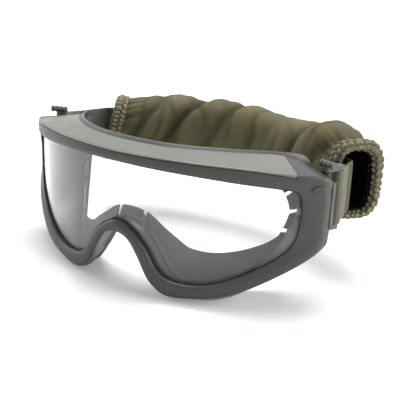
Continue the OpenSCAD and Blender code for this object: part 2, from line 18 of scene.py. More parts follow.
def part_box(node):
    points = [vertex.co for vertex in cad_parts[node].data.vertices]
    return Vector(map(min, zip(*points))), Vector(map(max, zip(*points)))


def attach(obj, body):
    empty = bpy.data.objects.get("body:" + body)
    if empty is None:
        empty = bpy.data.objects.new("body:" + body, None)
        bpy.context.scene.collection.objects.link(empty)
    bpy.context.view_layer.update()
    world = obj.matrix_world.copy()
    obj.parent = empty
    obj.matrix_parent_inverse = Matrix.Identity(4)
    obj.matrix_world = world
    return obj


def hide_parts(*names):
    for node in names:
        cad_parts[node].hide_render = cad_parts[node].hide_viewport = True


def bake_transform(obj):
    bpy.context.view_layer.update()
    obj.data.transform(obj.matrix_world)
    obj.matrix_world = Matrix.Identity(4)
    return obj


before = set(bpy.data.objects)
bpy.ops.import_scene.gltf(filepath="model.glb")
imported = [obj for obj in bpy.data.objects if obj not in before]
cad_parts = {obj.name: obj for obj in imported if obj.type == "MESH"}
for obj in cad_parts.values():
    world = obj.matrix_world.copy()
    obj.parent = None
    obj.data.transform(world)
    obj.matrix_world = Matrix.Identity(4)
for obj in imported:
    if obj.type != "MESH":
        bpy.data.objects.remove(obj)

Array = np.ndarray
Number = np.ndarray | float
Triple = tuple[float, float, float]
Socket = bpy.types.NodeSocket
Source = Socket | float | tuple
Node = bpy.types.Node
Material = bpy.types.Material
Object = bpy.types.Object

log = logging.getLogger("goggles")
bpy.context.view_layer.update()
TURN = 2 * math.pi


class Side(Enum):
    """The two sides of the goggles, named as they lie in the photograph."""

    LEFT = -1
    RIGHT = 1

    @property
    def word(self) -> str:
        """The side's word in the names of nodes and bodies."""
        return self.name.lower()


class Column(Enum):
    """First columns of the four outlines in the table of stations."""

    OPENING = 0
    SILHOUETTE = 2
    REAR = 4
    EDGE = 6


def power(x: Array, exponent: float) -> Array:
    """A power of the size of x that keeps its sign."""
    return np.sign(x) * np.abs(x)**exponent


def eased(x: Array) -> Array:
    """Rises from 0 at 0 to 1 at 1 as a squared sine, and is level outside them."""
    return np.sin(math.pi / 2 * np.clip(x, 0, 1))**2


def hill(x: Array, middle: float, width: float) -> Array:
    """A bell curve with the height 1 at its middle."""
    return np.exp(-((x - middle) / width)**2)


def xyz(x: Number, y: Number, z: Number) -> Array:
    """Points from their coordinates, which may have different shapes."""
    return np.stack(np.broadcast_arrays(x, y, z), axis=-1)


@dataclass(frozen=True)
class Plan:
    """Outlines of the frame, the curve of the lens and the arc of the headband."""

    lens_radius: float = 118.0
    nose_depth: float = 13.0
    wrap_depth: float = 31.0
    wrap_from: float = 60.0
    arc_x: float = -0.7
    arc_y: float = -21.38
    arc_radius: float = 136.0
    arc_right: float = 39.6
    arc_left: float = 33.9
    strap_middle: float = 51.6
    strap_width: float = 27.4
    strap_thickness: float = 1.5
    band_in: float = 5.0
    lean: float = 14.0

    @property
    def stations(self) -> Array:
        """Stations from the top middle over the temple to the nose.

        Returns:
            One row each: opening x z, silhouette x z, foot of the rear rim x z, inner edge
            of the flange x z, stand-out of the front face, shoulder, roll, lip, belly, rise.
        """
        return np.array([
            [0.0, 65.8, 0.0, 71.8, 0.0, 72.4, 0.0, 65.0, 4.0, 1.0, 1.0, 1.0, 0.0, 0.0],
            [20.0, 65.4, 20.0, 71.9, 20.0, 72.4, 19.0, 64.9, 4.0, 1.0, 1.0, 1.0, 0.0, 0.0],
            [40.0, 64.5, 41.0, 71.5, 38.0, 72.0, 36.0, 64.0, 4.0, 1.0, 1.0, 1.0, 0.0, 0.0],
            [58.0, 62.8, 60.0, 70.6, 52.0, 71.0, 49.0, 62.0, 4.0, 1.0, 1.0, 0.9, 0.0, 0.0],
            [73.0, 60.9, 77.0, 68.3, 62.0, 69.6, 57.0, 59.0, 3.7, 1.5, 1.0, 0.8, 0.0, 0.0],
            [80.4, 58.6, 91.2, 65.2, 68.5, 67.0, 61.5, 55.5, 2.6, 4.0, 1.6, 0.7, 0.0, 0.0],
            [82.2, 52.0, 93.6, 57.0, 71.0, 60.0, 64.0, 50.0, 1.6, 4.8, 4.0, 0.5, 0.0, 0.0],
            [82.1, 44.0, 93.8, 47.5, 71.5, 50.0, 65.6, 43.5, 1.5, 4.8, 4.0, 0.5, 0.0, 0.0],
            [80.3, 34.0, 92.6, 36.5, 71.0, 39.0, 65.9, 36.0, 1.6, 3.8, 3.0, 0.5, 0.0, 0.4],
            [74.4, 26.0, 87.6, 26.7, 68.0, 27.5, 63.8, 30.5, 1.8, 1.6, 1.8, 0.4, 0.0, 1.8],
            [63.4, 18.1, 74.0, 16.0, 62.0, 15.0, 58.5, 25.0, 2.2, 1.0, 1.0, 0.4, 0.6, 1.3],
            [52.2, 12.4, 58.0, 7.0, 53.0, 4.0, 50.0, 22.0, 3.0, 1.0, 1.0, 0.4, 2.2, 0.3],
            [41.0, 9.7, 43.0, 3.4, 42.0, 0.9, 40.5, 21.3, 3.0, 1.0, 1.0, 0.4, 2.6, 0.0],
            [29.5, 10.3, 28.5, 2.4, 30.0, 1.6, 31.0, 23.2, 3.0, 1.0, 1.0, 0.4, 2.0, 0.0],
            [22.5, 14.8, 19.2, 8.5, 21.0, 9.5, 25.5, 27.0, 3.0, 1.0, 1.0, 0.3, 0.0, 0.0],
            [16.2, 24.9, 12.6, 20.0, 14.0, 20.5, 18.5, 32.0, 3.0, 1.0, 1.0, 0.2, 0.0, 0.0],
            [8.8, 32.2, 7.0, 27.6, 8.0, 28.5, 10.0, 37.8, 3.0, 1.0, 1.0, 0.2, 0.0, 0.0],
            [0.0, 36.0, 0.0, 30.0, 0.0, 31.5, 0.0, 39.5, 3.0, 1.0, 1.0, 0.2, 0.0, 0.0],
        ])

    def to_row(self, points: Array) -> Array:
        """Moves drawing points in mm to the row's frame in metres.

        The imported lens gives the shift: it is symmetric about x = 0 and touches y = 0.

        Args:
            points: Any array whose last axis is x, y, z.

        Returns:
            The same array in metres in the row's frame.
        """
        low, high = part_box("lens")
        shift = np.array([(low[0] + high[0]) / 2, low[1], 0.0])
        return points / 1000.0 + shift

    def along(self, count: int) -> Array:
        """Even parameters from the first station to the last."""
        return np.linspace(0, len(self.stations) - 1, count)

    def at(self, t: Array) -> Array:
        """Station values at parameters t: a smooth curve through each four neighbours.

        Past either end a station is the mirror image of its partner, so x changes sign.

        Args:
            t: Parameters from 0 at the top middle to 17 at the nose.

        Returns:
            One row of 14 values per parameter.
        """
        table = self.stations
        last = len(table) - 1
        mirror = np.ones(table.shape[1])
        mirror[0:8:2] = -1.0
        whole = np.floor(t).astype(int)

        def row(i: Array) -> Array:
            """Rows of the table, mirrored where the index lies past an end."""
            folded = last - np.abs(last - np.abs(i))
            return table[folded] * np.where((i == folded)[:, None], 1.0, mirror)

        a, b, c, d = (row(whole + k) for k in (-1, 0, 1, 2))
        f = (t - whole)[:, None]
        return 0.5 * (2 * b + (c - a) * f + (2 * a - 5 * b + 4 * c - d) * f**2
                      + (3 * b - a - 3 * c + d) * f**3)

    def forms(self, t: Array) -> tuple[Array, ...]:
        """Stand-out, shoulder, roll, lip, belly and rise of the frame at parameters t."""
        return tuple(self.at(t)[:, 8:].T)

    def normal(self, t: Array, column: Column) -> Array:
        """Outward normal of an outline in the front view: its tangent turned by 90 degrees.

        Args:
            t: Parameters along the outline.
            column: Which outline.

        Returns:
            Unit x, z pairs.
        """
        k = column.value
        d = self.at(t + 0.02)[:, k:k + 2] - self.at(t - 0.02)[:, k:k + 2]
        n = np.stack([-d[:, 1], d[:, 0]], axis=1)
        return n / np.linalg.norm(n, axis=1, keepdims=True)

    def out(self, t: Array, column: Column, distance: Number) -> Array:
        """Points of an outline moved out along its normal by a distance."""
        k = column.value
        return self.at(t)[:, k:k + 2] + self.normal(t, column) * np.reshape(distance, (-1, 1))

    def on_lens(self, q: Array, dy: Number) -> Array:
        """Lays front-view points on the lens front, a circle in plan, moved back by dy."""
        y = self.lens_radius - np.sqrt(self.lens_radius**2 - q[..., 0]**2)
        return xyz(q[..., 0], y + dy, q[..., 1])

    def on_shell(self, q: Array, depth: float) -> Array:
        """Lays front-view points at a depth square to the lens's surface."""
        y = self.lens_radius - np.sqrt((self.lens_radius - depth)**2 - q[..., 0]**2)
        return xyz(q[..., 0], y, q[..., 1])

    def on_face(self, q: Array, dy: Number) -> Array:
        """Lays front-view points on the curve of the rear rim, moved back by dy."""
        y = self.nose_depth + self.wrap_depth * (np.abs(q[..., 0]) / self.wrap_from)**2.6
        return xyz(q[..., 0], y + dy, q[..., 1])

    def cloth(self, u: Array, away: Array, up: Array, on: Number = 0.0) -> Array:
        """Points round the headband's arc.

        The circle of the arc gives the place at u; away is added to its radius, up to its
        height and on along it. Near the left cuff the section leans, lower side forwards.

        Args:
            u: Place along the arc, 0 at the right cuff and 1 at the left.
            away: Distance from the middle line, away from the head.
            up: Height over the middle line.
            on: Distance along the arc's direction.

        Returns:
            Points with x, y, z on the last axis.
        """
        b = np.radians(self.arc_right * (1 - u) - self.arc_left * u)
        k = np.radians(self.lean) * eased((u - 0.7) * 4)
        f = on * np.cos(k) - up * np.sin(k)
        r = self.arc_radius + away
        middle = self.strap_middle + 0.8 - np.sin(math.pi / 2 * np.clip(2 * u, 0, 1))
        return xyz(self.arc_x + r * np.sin(b) - f * np.cos(b),
                   self.arc_y + r * np.cos(b) + f * np.sin(b),
                   middle + up * np.cos(k) + on * np.sin(k))

    def band_point(self, degrees: Number) -> Array:
        """Plan points of the headband at bearings in degrees from straight back."""
        b, r = np.radians(degrees), self.arc_radius - self.band_in
        return np.stack([self.arc_x + r * np.sin(b), self.arc_y + r * np.cos(b)], axis=-1)


PLAN = Plan()


def rounded(rings: Array, radii: Array, steps: int = 4) -> Array:
    """Rounds every corner of closed profiles with a short parabola.

    Each corner p gives way to points on the curve from p towards the last corner, over p,
    towards the next one: (1-s)^2 a + 2 s (1-s) p + s^2 b.

    Args:
        rings: Array of rings, corners and x, y, z.
        radii: How far each corner's curve reaches, in mm, up to 45 % of either edge.
        steps: Points per corner.

    Returns:
        The rings with steps points for every corner.
    """
    ends = []
    for by in (1, -1):
        edge = np.roll(rings, by, axis=1) - rings
        length = np.linalg.norm(edge, axis=2, keepdims=True) + 1e-9
        ends.append(rings + edge * np.minimum(radii[None, :, None] / length, 0.45))
    a, p, b = (m[:, :, None, :] for m in (ends[0], rings, ends[1]))
    s = np.linspace(0, 1, steps)[None, None, :, None]
    curve = (1 - s)**2 * a + 2 * s * (1 - s) * p + s**2 * b
    return curve.reshape(rings.shape[0], -1, 3)


def all_round(half: Array) -> Array:
    """Joins a half's rows, from top to nose, with their mirror images back to the top."""
    mirror = np.where(np.arange(half.shape[-1]) == 0, -1.0, 1.0)
    return np.concatenate([half, half[-2:0:-1] * mirror])


def closed_tube(grid: Array) -> Array:
    """Closes a tube: adds a ring drawn together to its middle at either end."""
    ends = np.repeat(grid[[0, -1]].mean(axis=1, keepdims=True), grid.shape[1], axis=1)
    return np.concatenate([ends[:1], grid, ends[1:]])


def grid_faces(points: Array, rows: int, columns: int, close_rows: bool) -> Array:
    """Faces between each four neighbours of a grid, turned so that they look outwards.

    The surface is closed, so its volume is above zero when they do.

    Args:
        points: The grid's points, row after row.
        rows: How many rows the grid has.
        columns: How many columns it has. The last one joins the first.
        close_rows: Whether the last row joins the first.

    Returns:
        Four corner indices per face.
    """
    i, j = np.indices((rows if close_rows else rows - 1, columns)).reshape(2, -1)
    k, l = (i + 1) % rows, (j + 1) % columns
    faces = np.stack([i * columns + j, i * columns + l, k * columns + l, k * columns + j], axis=1)
    a, b, c, d = (points[faces[:, n]] for n in range(4))
    volume = (a * (np.cross(b, c) + np.cross(c, d))).sum()
    return faces if volume > 0 else faces[:, ::-1]


def put(name: str, data: bpy.types.ID) -> Object:
    """Makes an object of some data and links it to the scene.

    Args:
        name: Its name.
        data: A mesh, a lamp's data or a camera's.

    Returns:
        The object.
    """
    thing = bpy.data.objects.new(name, data)
    bpy.context.scene.collection.objects.link(thing)
    return thing


class Surface:
    """A grid of points made into a Blender piece at the row's origin."""

    def __init__(self, name: str, grid: Array, close_rows: bool = True) -> None:
        """Builds the mesh from the grid, with a UV map in millimetres along both ways.

        Args:
            name: The piece's name.
            grid: Points in mm, rows by columns by x, y, z. Its last column joins the first.
            close_rows: Whether the last row joins the first.
        """
        points = PLAN.to_row(grid.reshape(-1, 3))
        faces = grid_faces(points - points.mean(axis=0), *grid.shape[:2], close_rows)
        mesh = bpy.data.meshes.new(name)
        mesh.vertices.add(len(points))
        mesh.vertices.foreach_set("co", points.astype(np.float32).ravel())
        mesh.loops.add(faces.size)
        mesh.loops.foreach_set("vertex_index", faces.ravel().astype(np.int32))
        mesh.polygons.add(len(faces))
        mesh.polygons.foreach_set("loop_start", np.arange(0, faces.size, 4, dtype=np.int32))
        mesh.polygons.foreach_set("use_smooth", np.ones(len(faces), dtype=bool))
        mesh.update(calc_edges=True)
        self._map(mesh, grid, faces)
        mesh.validate()
        self.piece = put(name, mesh)

    @staticmethod
    def _map(mesh: bpy.types.Mesh, grid: Array, faces: Array) -> None:
        """Gives each corner its distance along its row and column, in mm, as UV.

        Args:
            mesh: The mesh to map.
            grid: The points in mm.
            faces: Corner indices of the faces.
        """
        uv = []
        for axis, index in enumerate(np.divmod(faces, grid.shape[1])):
            step = np.linalg.norm(np.diff(grid, axis=axis), axis=2)
            far = np.concatenate([[0.0], np.cumsum(np.median(step, axis=1 - axis))])
            value = far[index]
            # faces that close the grid run on past its end
            behind = value < value.max(axis=1, keepdims=True) - far[-1] / 2
            uv.append(np.where(behind, value + far[-1] + far[1], value))
        layer = mesh.uv_layers.new(name="cloth_mm")
        layer.data.foreach_set("uv", np.stack(uv, axis=-1).astype(np.float32).ravel())

    def mark(self, name: str, value: Array) -> None:
        """Keeps a number per point, from 0 to 1, that a finish reads by its name."""
        layer = self.piece.data.attributes.new(name, "FLOAT", "POINT")
        layer.data.foreach_set("value", np.clip(value, 0, 1).astype(np.float32).ravel())

    def finish(self, material: Material, slot: str, *stands_for: str,
               body: str | None = "goggles") -> Object:
        """Gives the piece its material and body, and hides the nodes it stands for.

        Args:
            material: The finish.
            slot: The record's material slot; not used.
            stands_for: CAD nodes that it replaces.
            body: The body it rides on, or None to leave it on none.

        Returns:
            The piece's object.
        """
        self.piece.data.materials.append(material)
        if body:
            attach(self.piece, body)
        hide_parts(*stands_for)
        log.info("piece %s: %d faces", self.piece.name, len(self.piece.data.polygons))
        return self.piece


def box_corners() -> Array:
    """The eight corners of a unit box, x first, then y, then z."""
    return np.array([[x, y, z] for x in (0, 1) for y in (0, 1) for z in (0, 1)], float)


def carve(piece: Object, boxes: list[Array]) -> None:
    """Cuts boxes and their mirror images out of a piece.

    Args:
        piece: What is cut.
        boxes: Corners of each box in mm, in the order of box_corners, on the right side.
    """
    faces = [(0, 1, 3, 2), (4, 6, 7, 5), (0, 4, 5, 1), (2, 3, 7, 6), (0, 2, 6, 4),
             (1, 5, 7, 3)]
    points, polygons = [], []
    for box in boxes:
        for side in Side:
            order = faces if side is Side.RIGHT else [f[::-1] for f in faces]
            polygons += [tuple(len(points) * 8 + k for k in f) for f in order]
            points.append(box * np.array([side.value, 1, 1]))
    mesh = bpy.data.meshes.new("cutters")
    mesh.from_pydata(PLAN.to_row(np.concatenate(points)).tolist(), [], polygons)
    cutter = put("cutters", mesh)
    cut = piece.modifiers.new("cuts", "BOOLEAN")
    cut.operation, cut.object, cut.solver = "DIFFERENCE", cutter, "MANIFOLD"
    seen = piece.evaluated_get(bpy.context.evaluated_depsgraph_get())
    carved = bpy.data.meshes.new_from_object(seen)
    piece.modifiers.clear()
    piece.data = carved
    bpy.data.objects.remove(cutter, do_unlink=True)


class Nodes:
    """A node tree, with helpers for what repeats."""

    def __init__(self, tree: bpy.types.NodeTree) -> None:
        """Keeps the tree."""
        self.tree = tree

    def wire(self, node: Node, *first: Source, **named: Source) -> Node:
        """Feeds a node's inputs from sockets or with values.

        Args:
            node: The node.
            first: What its first inputs get, in their order.
            named: What inputs get by name, with underscores for spaces.

        Returns:
            The node.
        """
        inputs = [*zip(node.inputs, first)]
        inputs += [(node.inputs[key.replace("_", " ")], source) for key, source in named.items()]
        for target, source in inputs:
            if isinstance(source, Socket):
                self.tree.links.new(source, target)
            else:
                target.default_value = source
        return node

    def add(self, kind: str, *first: Source, **named: Source) -> Node:
        """Adds a node and feeds its inputs in their order or by name."""
        return self.wire(self.tree.nodes.new(kind), *first, **named)

    def maths(self, operation: str, *values: Socket | float) -> Socket:
        """Adds a maths node.

        Args:
            operation: What it does.
            values: What it works on.

        Returns:
            Its result.
        """
        node = self.add("ShaderNodeMath", *values)
        node.operation = operation
        return node.outputs[0]

    def seen(self) -> Socket:
        """Tells which rays reach the eye.

        Returns:
            1 for rays from the camera, through the lens or off a gloss, and else 0.
        """
        rays = self.add("ShaderNodeLightPath").outputs
        direct = self.maths("MAXIMUM", rays["Is Camera Ray"], rays["Is Transmission Ray"])
        return self.maths("MAXIMUM", direct, rays["Is Glossy Ray"])


class Finish(Nodes):
    """A material under construction, with one shader to begin with."""

    def __init__(self, name: str, color: Triple, rough: float) -> None:
        """Starts the material.

        Args:
            name: The material's name.
            color: Base colour, linear.
            rough: Roughness.
        """
        self.material = bpy.data.materials.new(name)
        self.material.use_nodes = True
        super().__init__(self.material.node_tree)
        self.shader = self.tree.nodes["Principled BSDF"]
        self.coat(Base_Color=(*color, 1.0), Roughness=rough)
        self.place = self.add("ShaderNodeTexCoord")

    def coat(self, **inputs: Source) -> None:
        """Feeds the shader's inputs by name."""
        self.wire(self.shader, **inputs)

    def show(self, node: Node) -> None:
        """Makes a node's result the one that the material shows."""
        out = next(n for n in self.tree.nodes if n.type == "OUTPUT_MATERIAL")
        self.wire(out, Surface=node.outputs[0])

    def mark(self, name: str) -> Socket:
        """Reads the number that a surface keeps per point.

        Args:
            name: The name it is kept under.

        Returns:
            The number.
        """
        node = self.add("ShaderNodeAttribute")
        node.attribute_name = name
        return node.outputs["Fac"]

    def noise(self, scale: float, detail: float = 3.0, on: Socket | None = None) -> Socket:
        """Noise with a scale and octaves, on object coordinates in metres or others."""
        return self.add("ShaderNodeTexNoise", Scale=scale, Detail=detail,
                        Vector=on or self.place.outputs["Object"]).outputs["Fac"]

    def spread(self, value: Socket, low: float, high: float, start: float = 0.3,
               end: float = 0.7) -> Socket:
        """Maps a value that runs from start to end to one that runs from low to high."""
        return self.add("ShaderNodeMapRange", Value=value, From_Min=start, From_Max=end,
                        To_Min=low, To_Max=high).outputs["Result"]

    def tint(self, factor: Socket, dark: Triple, light: Triple) -> None:
        """Colours the shader between two colours.

        Args:
            factor: 0 for the dark colour to 1 for the light one.
            dark: The first colour, linear.
            light: The second colour, linear.
        """
        ramp = self.add("ShaderNodeValToRGB", Fac=factor)
        for element, color in zip(ramp.color_ramp.elements, (dark, light)):
            element.color = (*color, 1.0)
        self.coat(Base_Color=ramp.outputs["Color"])

    def bump(self, *layers: tuple[Socket, float, float]) -> None:
        """Stacks bumps on the shader.

        Args:
            layers: Height, strength and depth in metres of each bump.
        """
        under = {}
        for height, strength, distance in layers:
            node = self.add("ShaderNodeBump", Height=height, Strength=strength,
                            Distance=distance, **under)
            under = {"Normal": node.outputs["Normal"]}
        self.coat(**under)


def shade(color: Triple, by: float) -> Triple:
    """A colour made darker or lighter by a factor."""
    return tuple(min(1.0, c * by) for c in color)


@dataclass(frozen=True)
class Moulded:
    """Moulded plastic or rubber: fine spark texture, soft mottling and painted highlights.

    Where a piece marks points with 1, on edges that catch the light, the colour is
    paler: a painted highlight.
    """

    name: str
    color: Triple
    rough: float = 0.45
    grain: float = 2600.0
    depth: float = 0.00002
    mottle: float = 0.08
    pale: float = 2.0

    def make(self) -> Material:
        """Builds the material.

        Returns:
            The material.
        """
        f = Finish(self.name, self.color, self.rough)
        # painted highlight: points that a piece marks with 1 are tinted towards the paler colour
        level = f.maths("ADD", f.spread(f.noise(28.0, 4.0), 0.0, 2 * self.mottle),
                        f.maths("MULTIPLY", f.mark("painted_highlight"), 1 + self.mottle))
        f.tint(level, shade(self.color, 1 - self.mottle), shade(self.color, self.pale))
        f.coat(Roughness=f.spread(f.noise(160.0, 6.0), self.rough - 0.06, self.rough + 0.08))
        f.bump((f.noise(self.grain, 2.0), 0.35, self.depth), (f.noise(220.0), 0.1, 0.00008))
        return f.material


@dataclass(frozen=True)
class Foam:
    """Open-cell foam: small dark pores in a slightly lighter skin."""

    name: str
    color: Triple

    def make(self) -> Material:
        """Builds the material.

        Returns:
            The material.
        """
        f = Finish(self.name, self.color, 0.95)
        cells = f.add("ShaderNodeTexVoronoi", Scale=1500.0, Vector=f.place.outputs["Object"])
        pores = f.spread(cells.outputs["Distance"], 0.0, 1.0, 0.1, 0.6)
        f.tint(pores, shade(self.color, 0.4), shade(self.color, 1.4))
        f.bump((pores, 0.6, 0.0002), (f.noise(300.0), 0.3, 0.0002))
        return f.material


@dataclass(frozen=True)
class Woven:
    """Woven cloth on the UV map in mm: ribs along and across, with uneven yarns."""

    name: str
    color: Triple
    warp: float = 0.45
    weft: float = 0.6
    depth: float = 0.0001
    sheen: float = 0.04
    uneven: float = 0.25
    crease: float = 0.0

    def make(self) -> Material:
        """Builds the material.

        The height of the cloth is |sin| across the warp plus |sin| across the weft, with
        the phase moved half a yarn on every other row, as in a plain weave. The piece's
        fold attribute, 0 deep in the creases and 1 on a fold, paints shade into the
        creases.

        Returns:
            The material.
        """
        f = Finish(self.name, self.color, 0.9)
        f.coat(Specular_IOR_Level=0.15, Sheen_Weight=self.sheen, Sheen_Roughness=0.6)
        uv = f.place.outputs["UV"]
        parts = f.add("ShaderNodeSeparateXYZ", Vector=uv).outputs
        x, y = (f.maths("SINE", f.maths("MULTIPLY", parts[axis], math.pi / pitch))
                for axis, pitch in (("X", self.weft), ("Y", self.warp)))
        ribs = f.maths("ADD", f.maths("ABSOLUTE", x), f.maths("ABSOLUTE", y))
        over = f.maths("MULTIPLY", f.maths("MULTIPLY", x, y), 0.5)
        weave = f.spread(f.maths("ADD", over, ribs), 0.0, 1.0, 0.0, 2.2)
        stretched = f.add("ShaderNodeMapping", Vector=uv, Scale=(0.25, 4.0, 1.0))
        yarns = f.noise(0.9, 2.0, stretched.outputs["Vector"])
        tone = 0.0
        for part, share in ((f.noise(60.0, 4.0), 0.3), (yarns, 0.35), (weave, 0.45)):
            tone = f.maths("MULTIPLY_ADD", part, share, tone)
        fine = f.spread(tone, 1 - self.uneven, 1 + self.uneven, 0.25, 0.85)
        # painted shade: the fold attribute darkens the creases
        deep = f.spread(f.mark("fold"), 1 - self.crease, 1.0, 0.0, 1.0)
        level = f.maths("MULTIPLY", f.maths("MULTIPLY", fine, deep), 1 / (1 + self.uneven))
        f.tint(level, (0.0, 0.0, 0.0), shade(self.color, 1 + self.uneven))
        f.bump((weave, 0.7, self.depth), (f.noise(700.0), 0.25, 0.0001))
        return f.material


@dataclass(frozen=True)
class ClearLens:
    """Clear polycarbonate that lets light through to what lies behind it."""

    name: str = "clear_polycarbonate"
    smear: float = 0.035

    def make(self) -> Material:
        """Builds the material: glass, and nothing at all for shadow rays.

        Returns:
            The material.
        """
        f = Finish(self.name, (1.0, 1.0, 1.0), 0.02)
        f.coat(Transmission_Weight=1.0, IOR=1.5,
               Roughness=f.spread(f.noise(14.0, 2.0), 0.0, self.smear))
        shadow = f.add("ShaderNodeLightPath").outputs["Is Shadow Ray"]
        clear = f.add("ShaderNodeBsdfTransparent").outputs["BSDF"]
        f.show(f.add("ShaderNodeMixShader", shadow, f.shader.outputs["BSDF"], clear))
        return f.material


class Finishes:
    """Every finish of the goggles in the photograph's colours, made once."""

    def __init__(self) -> None:
        """Makes the materials."""
        self.frame = Moulded("frame_plastic", (0.046, 0.0483, 0.041), 0.4).make()
        # The cap is the frame's plastic painted much lighter: painted light on the brow's top.
        self.cap = Moulded("cap_plastic_painted_light", (0.17, 0.174, 0.158), 0.36).make()
        self.lens = ClearLens().make()
        self.gasket = Moulded("gasket_rubber", (0.006, 0.006, 0.006), 0.7).make()
        self.flange = Moulded("flange_rubber", (0.027, 0.0275, 0.031), 0.48, 1800.0).make()
        self.foam = Foam("face_foam_cells", (0.03, 0.03, 0.032)).make()
        self.hardware = Moulded("clip_plastic", (0.11, 0.114, 0.106), 0.36).make()
        self.webbing = Woven("webbing_weave", (0.2, 0.195, 0.145), 0.9, 1.1, 0.00015).make()
        self.grip = Woven("band_inner_side", (0.13, 0.135, 0.125), 1.2, 1.6, 0.00005,
                          sheen=0.0).make()
        # The headband and the free runs are the loops' webbing painted darker: painted shade
        # where the runs go into the sleeve's dark mouth.
        self.band = Woven("webbing_weave_shaded", (0.11, 0.105, 0.07), 0.9, 1.1, 0.00015).make()
        # The cloth and the hem darken their creases by the fold attribute: painted shade, deeper
        # on the hem.
        self.cloth = Woven("sleeve_cloth", (0.153, 0.139, 0.074), 0.5, 0.55, 0.00007,
                           crease=0.72).make()
        self.hem = Woven("cuff_cloth", (0.25, 0.228, 0.14), 0.5, 0.55, 0.00007,
                         crease=0.92).make()
        # Near-black inner face of the sleeve: painted shade inside the cloth tube.
        self.inner_shade = Woven("sleeve_inner_shade", (0.006, 0.006, 0.005), 0.5, 0.55,
                            sheen=0.0).make()
        self.elastic = Woven("cuff_elastic_knit", (0.004, 0.004, 0.004), 0.6, 0.6,
                             sheen=0.0).make()


@dataclass
class FrameShell:
    """The moulded frame round the lens and the cap over its brow."""

    finishes: Finishes
    wall: float = 2.5
    lip_height: float = 2.6
    lip_run: float = 3.5
    lip_thickness: float = 1.2
    cap_thickness: float = 1.2
    cap_half_width: float = 80.0
    lens_thickness: float = 2.2
    lens_grip: float = 2.2
    gasket: float = 0.8
    seat: float = 0.05
    pocket_y: float = 44.07
    temple_x: float = 94.0
    hinge_x: float = 84.5
    vent_x: float = 41.0
    vent_y: float = 15.0
    vent_width: float = 12.6
    vent_depth: float = 4.5
    vent_lift: float = 0.9
    vent_play: float = 0.1
    chamfer: float = 2.0
    chamfer_from: float = 4.6
    chamfer_to: float = 8.6
    facet: float = 1.3
    brow_rise: float = 1.2
    brow_to: float = 4.9
    highlight_above: float = 60.0
    highlight_beyond: float = 89.0
    rings: int = 520

    @property
    def seam(self) -> float:
        """Parameter at which the cap ends."""
        return 4 + (self.cap_half_width - 77) / 14

    def parameters(self) -> Array:
        """Even parameters with a close pair at the cap's seam."""
        even, pair = PLAN.along(self.rings), self.seam + np.array([-0.006, 0.006])
        return np.sort(np.append(even[np.abs(even - self.seam) > 0.02], pair))

    def skin(self, t: Array) -> list[Array]:
        """Outer corners of the frame's section, from the front face to the rear rim.

        Args:
            t: Parameters round the frame.

        Returns:
            Ten arrays of points.
        """
        stand, shoulder, roll, lip, belly, rise = PLAN.forms(t)
        opening, side, rear = Column.OPENING, Column.SILHOUETTE, Column.REAR
        rim = -stand - rise
        half_way = (PLAN.out(t, opening, 0.0) + PLAN.out(t, side, 0.0)) / 2
        inset = self.chamfer * np.clip(
            np.minimum(t - self.chamfer_from, self.chamfer_to - t), 0, 1)
        corner = PLAN.on_lens(PLAN.out(t, side, -0.3 * shoulder), rim + 0.35 * roll)
        ridge = PLAN.on_lens(PLAN.out(t, side, -inset - self.facet), rim + 0.12 * roll)
        edge = PLAN.on_lens(PLAN.out(t, side, -inset), rim + roll)
        raised = self.brow_rise * np.clip(self.brow_to - t, 0, 1)
        foot = PLAN.on_face(PLAN.out(t, rear, raised), -self.lip_run + 0.6)
        n = PLAN.normal(t, side)
        bulge = xyz(n[:, 0], 0.0, n[:, 1]) * belly[:, None]
        w1, w2 = (edge + (foot - edge) * share + bulge for share in (0.4, 0.75))
        p1 = xyz(self.temple_x - 2 - inset * 0.6, self.pocket_y, w1[:, 2])
        p2 = xyz(self.hinge_x - 5, self.pocket_y, w2[:, 2])
        flat = np.clip(np.minimum((t - self.brow_to) / 0.4, (10 - t) / 1.6), 0, 1)[:, None]
        height = self.lip_height * lip
        return [PLAN.on_lens(PLAN.out(t, opening, 1.5), -stand),
                PLAN.on_lens(half_way, -stand - 0.2 - 0.7 * rise),
                PLAN.on_lens(PLAN.out(t, side, -shoulder), rim),
                corner + (ridge - corner) * (inset / self.chamfer)[:, None], edge,
                w1 + (p1 - w1) * flat, w2 + (p2 - w2) * flat, foot,
                PLAN.on_face(PLAN.out(t, rear, height), -self.lip_thickness),
                PLAN.on_face(PLAN.out(t, rear, height - 0.3), 0.0)]

    @staticmethod
    def sunk(skin: list[Array], depth: Number) -> list[Array]:
        """The cap's bed: the four corners of the skin under it, moved in by a depth."""
        return [corner + xyz(0.0, back * depth, -down * depth) for corner, back, down
                in zip(skin[3:7], (0.4, 0.3, 0.0, 0.0), (0.7, 1.0, 1.0, 1.0))]

    def section(self, t: Array) -> Array:
        """Closed section of the frame at each parameter, with the lens groove inside.

        Args:
            t: Parameters round the frame.

        Returns:
            Array of rings, corners and x, y, z.
        """
        stand, _, _, lip, _, _ = PLAN.forms(t)
        k = self.skin(t)
        opening, rear = Column.OPENING, Column.REAR
        room = self.gasket + self.seat
        grip, back = self.lens_grip + room + self.seat, self.lens_thickness + room
        mouth, groove = PLAN.out(t, opening, 0.0), PLAN.out(t, opening, grip)
        inner = PLAN.on_face(PLAN.out(t, rear, -self.wall), -self.lip_run - 0.5)
        behind = PLAN.on_shell(PLAN.out(t, opening, 1.6), back + 1.7)
        section = np.stack([
            PLAN.on_lens(mouth, -room), PLAN.on_lens(PLAN.out(t, opening, 0.3), -0.7 * stand),
            *k[:3], *self.sunk(k, np.where(t < self.seam, self.cap_thickness, 0.0)), *k[7:],
            PLAN.on_face(PLAN.out(t, rear, self.lip_height * lip - self.wall), 0.0),
            inner, (behind + inner) / 2, behind, PLAN.on_shell(mouth, back + 0.8),
            PLAN.on_shell(mouth, back), PLAN.on_shell(groove, back),
            PLAN.on_lens(groove, -room)], axis=1)
        section[:, :, 2] = np.maximum(section[:, :, 2], 0.0)
        return section

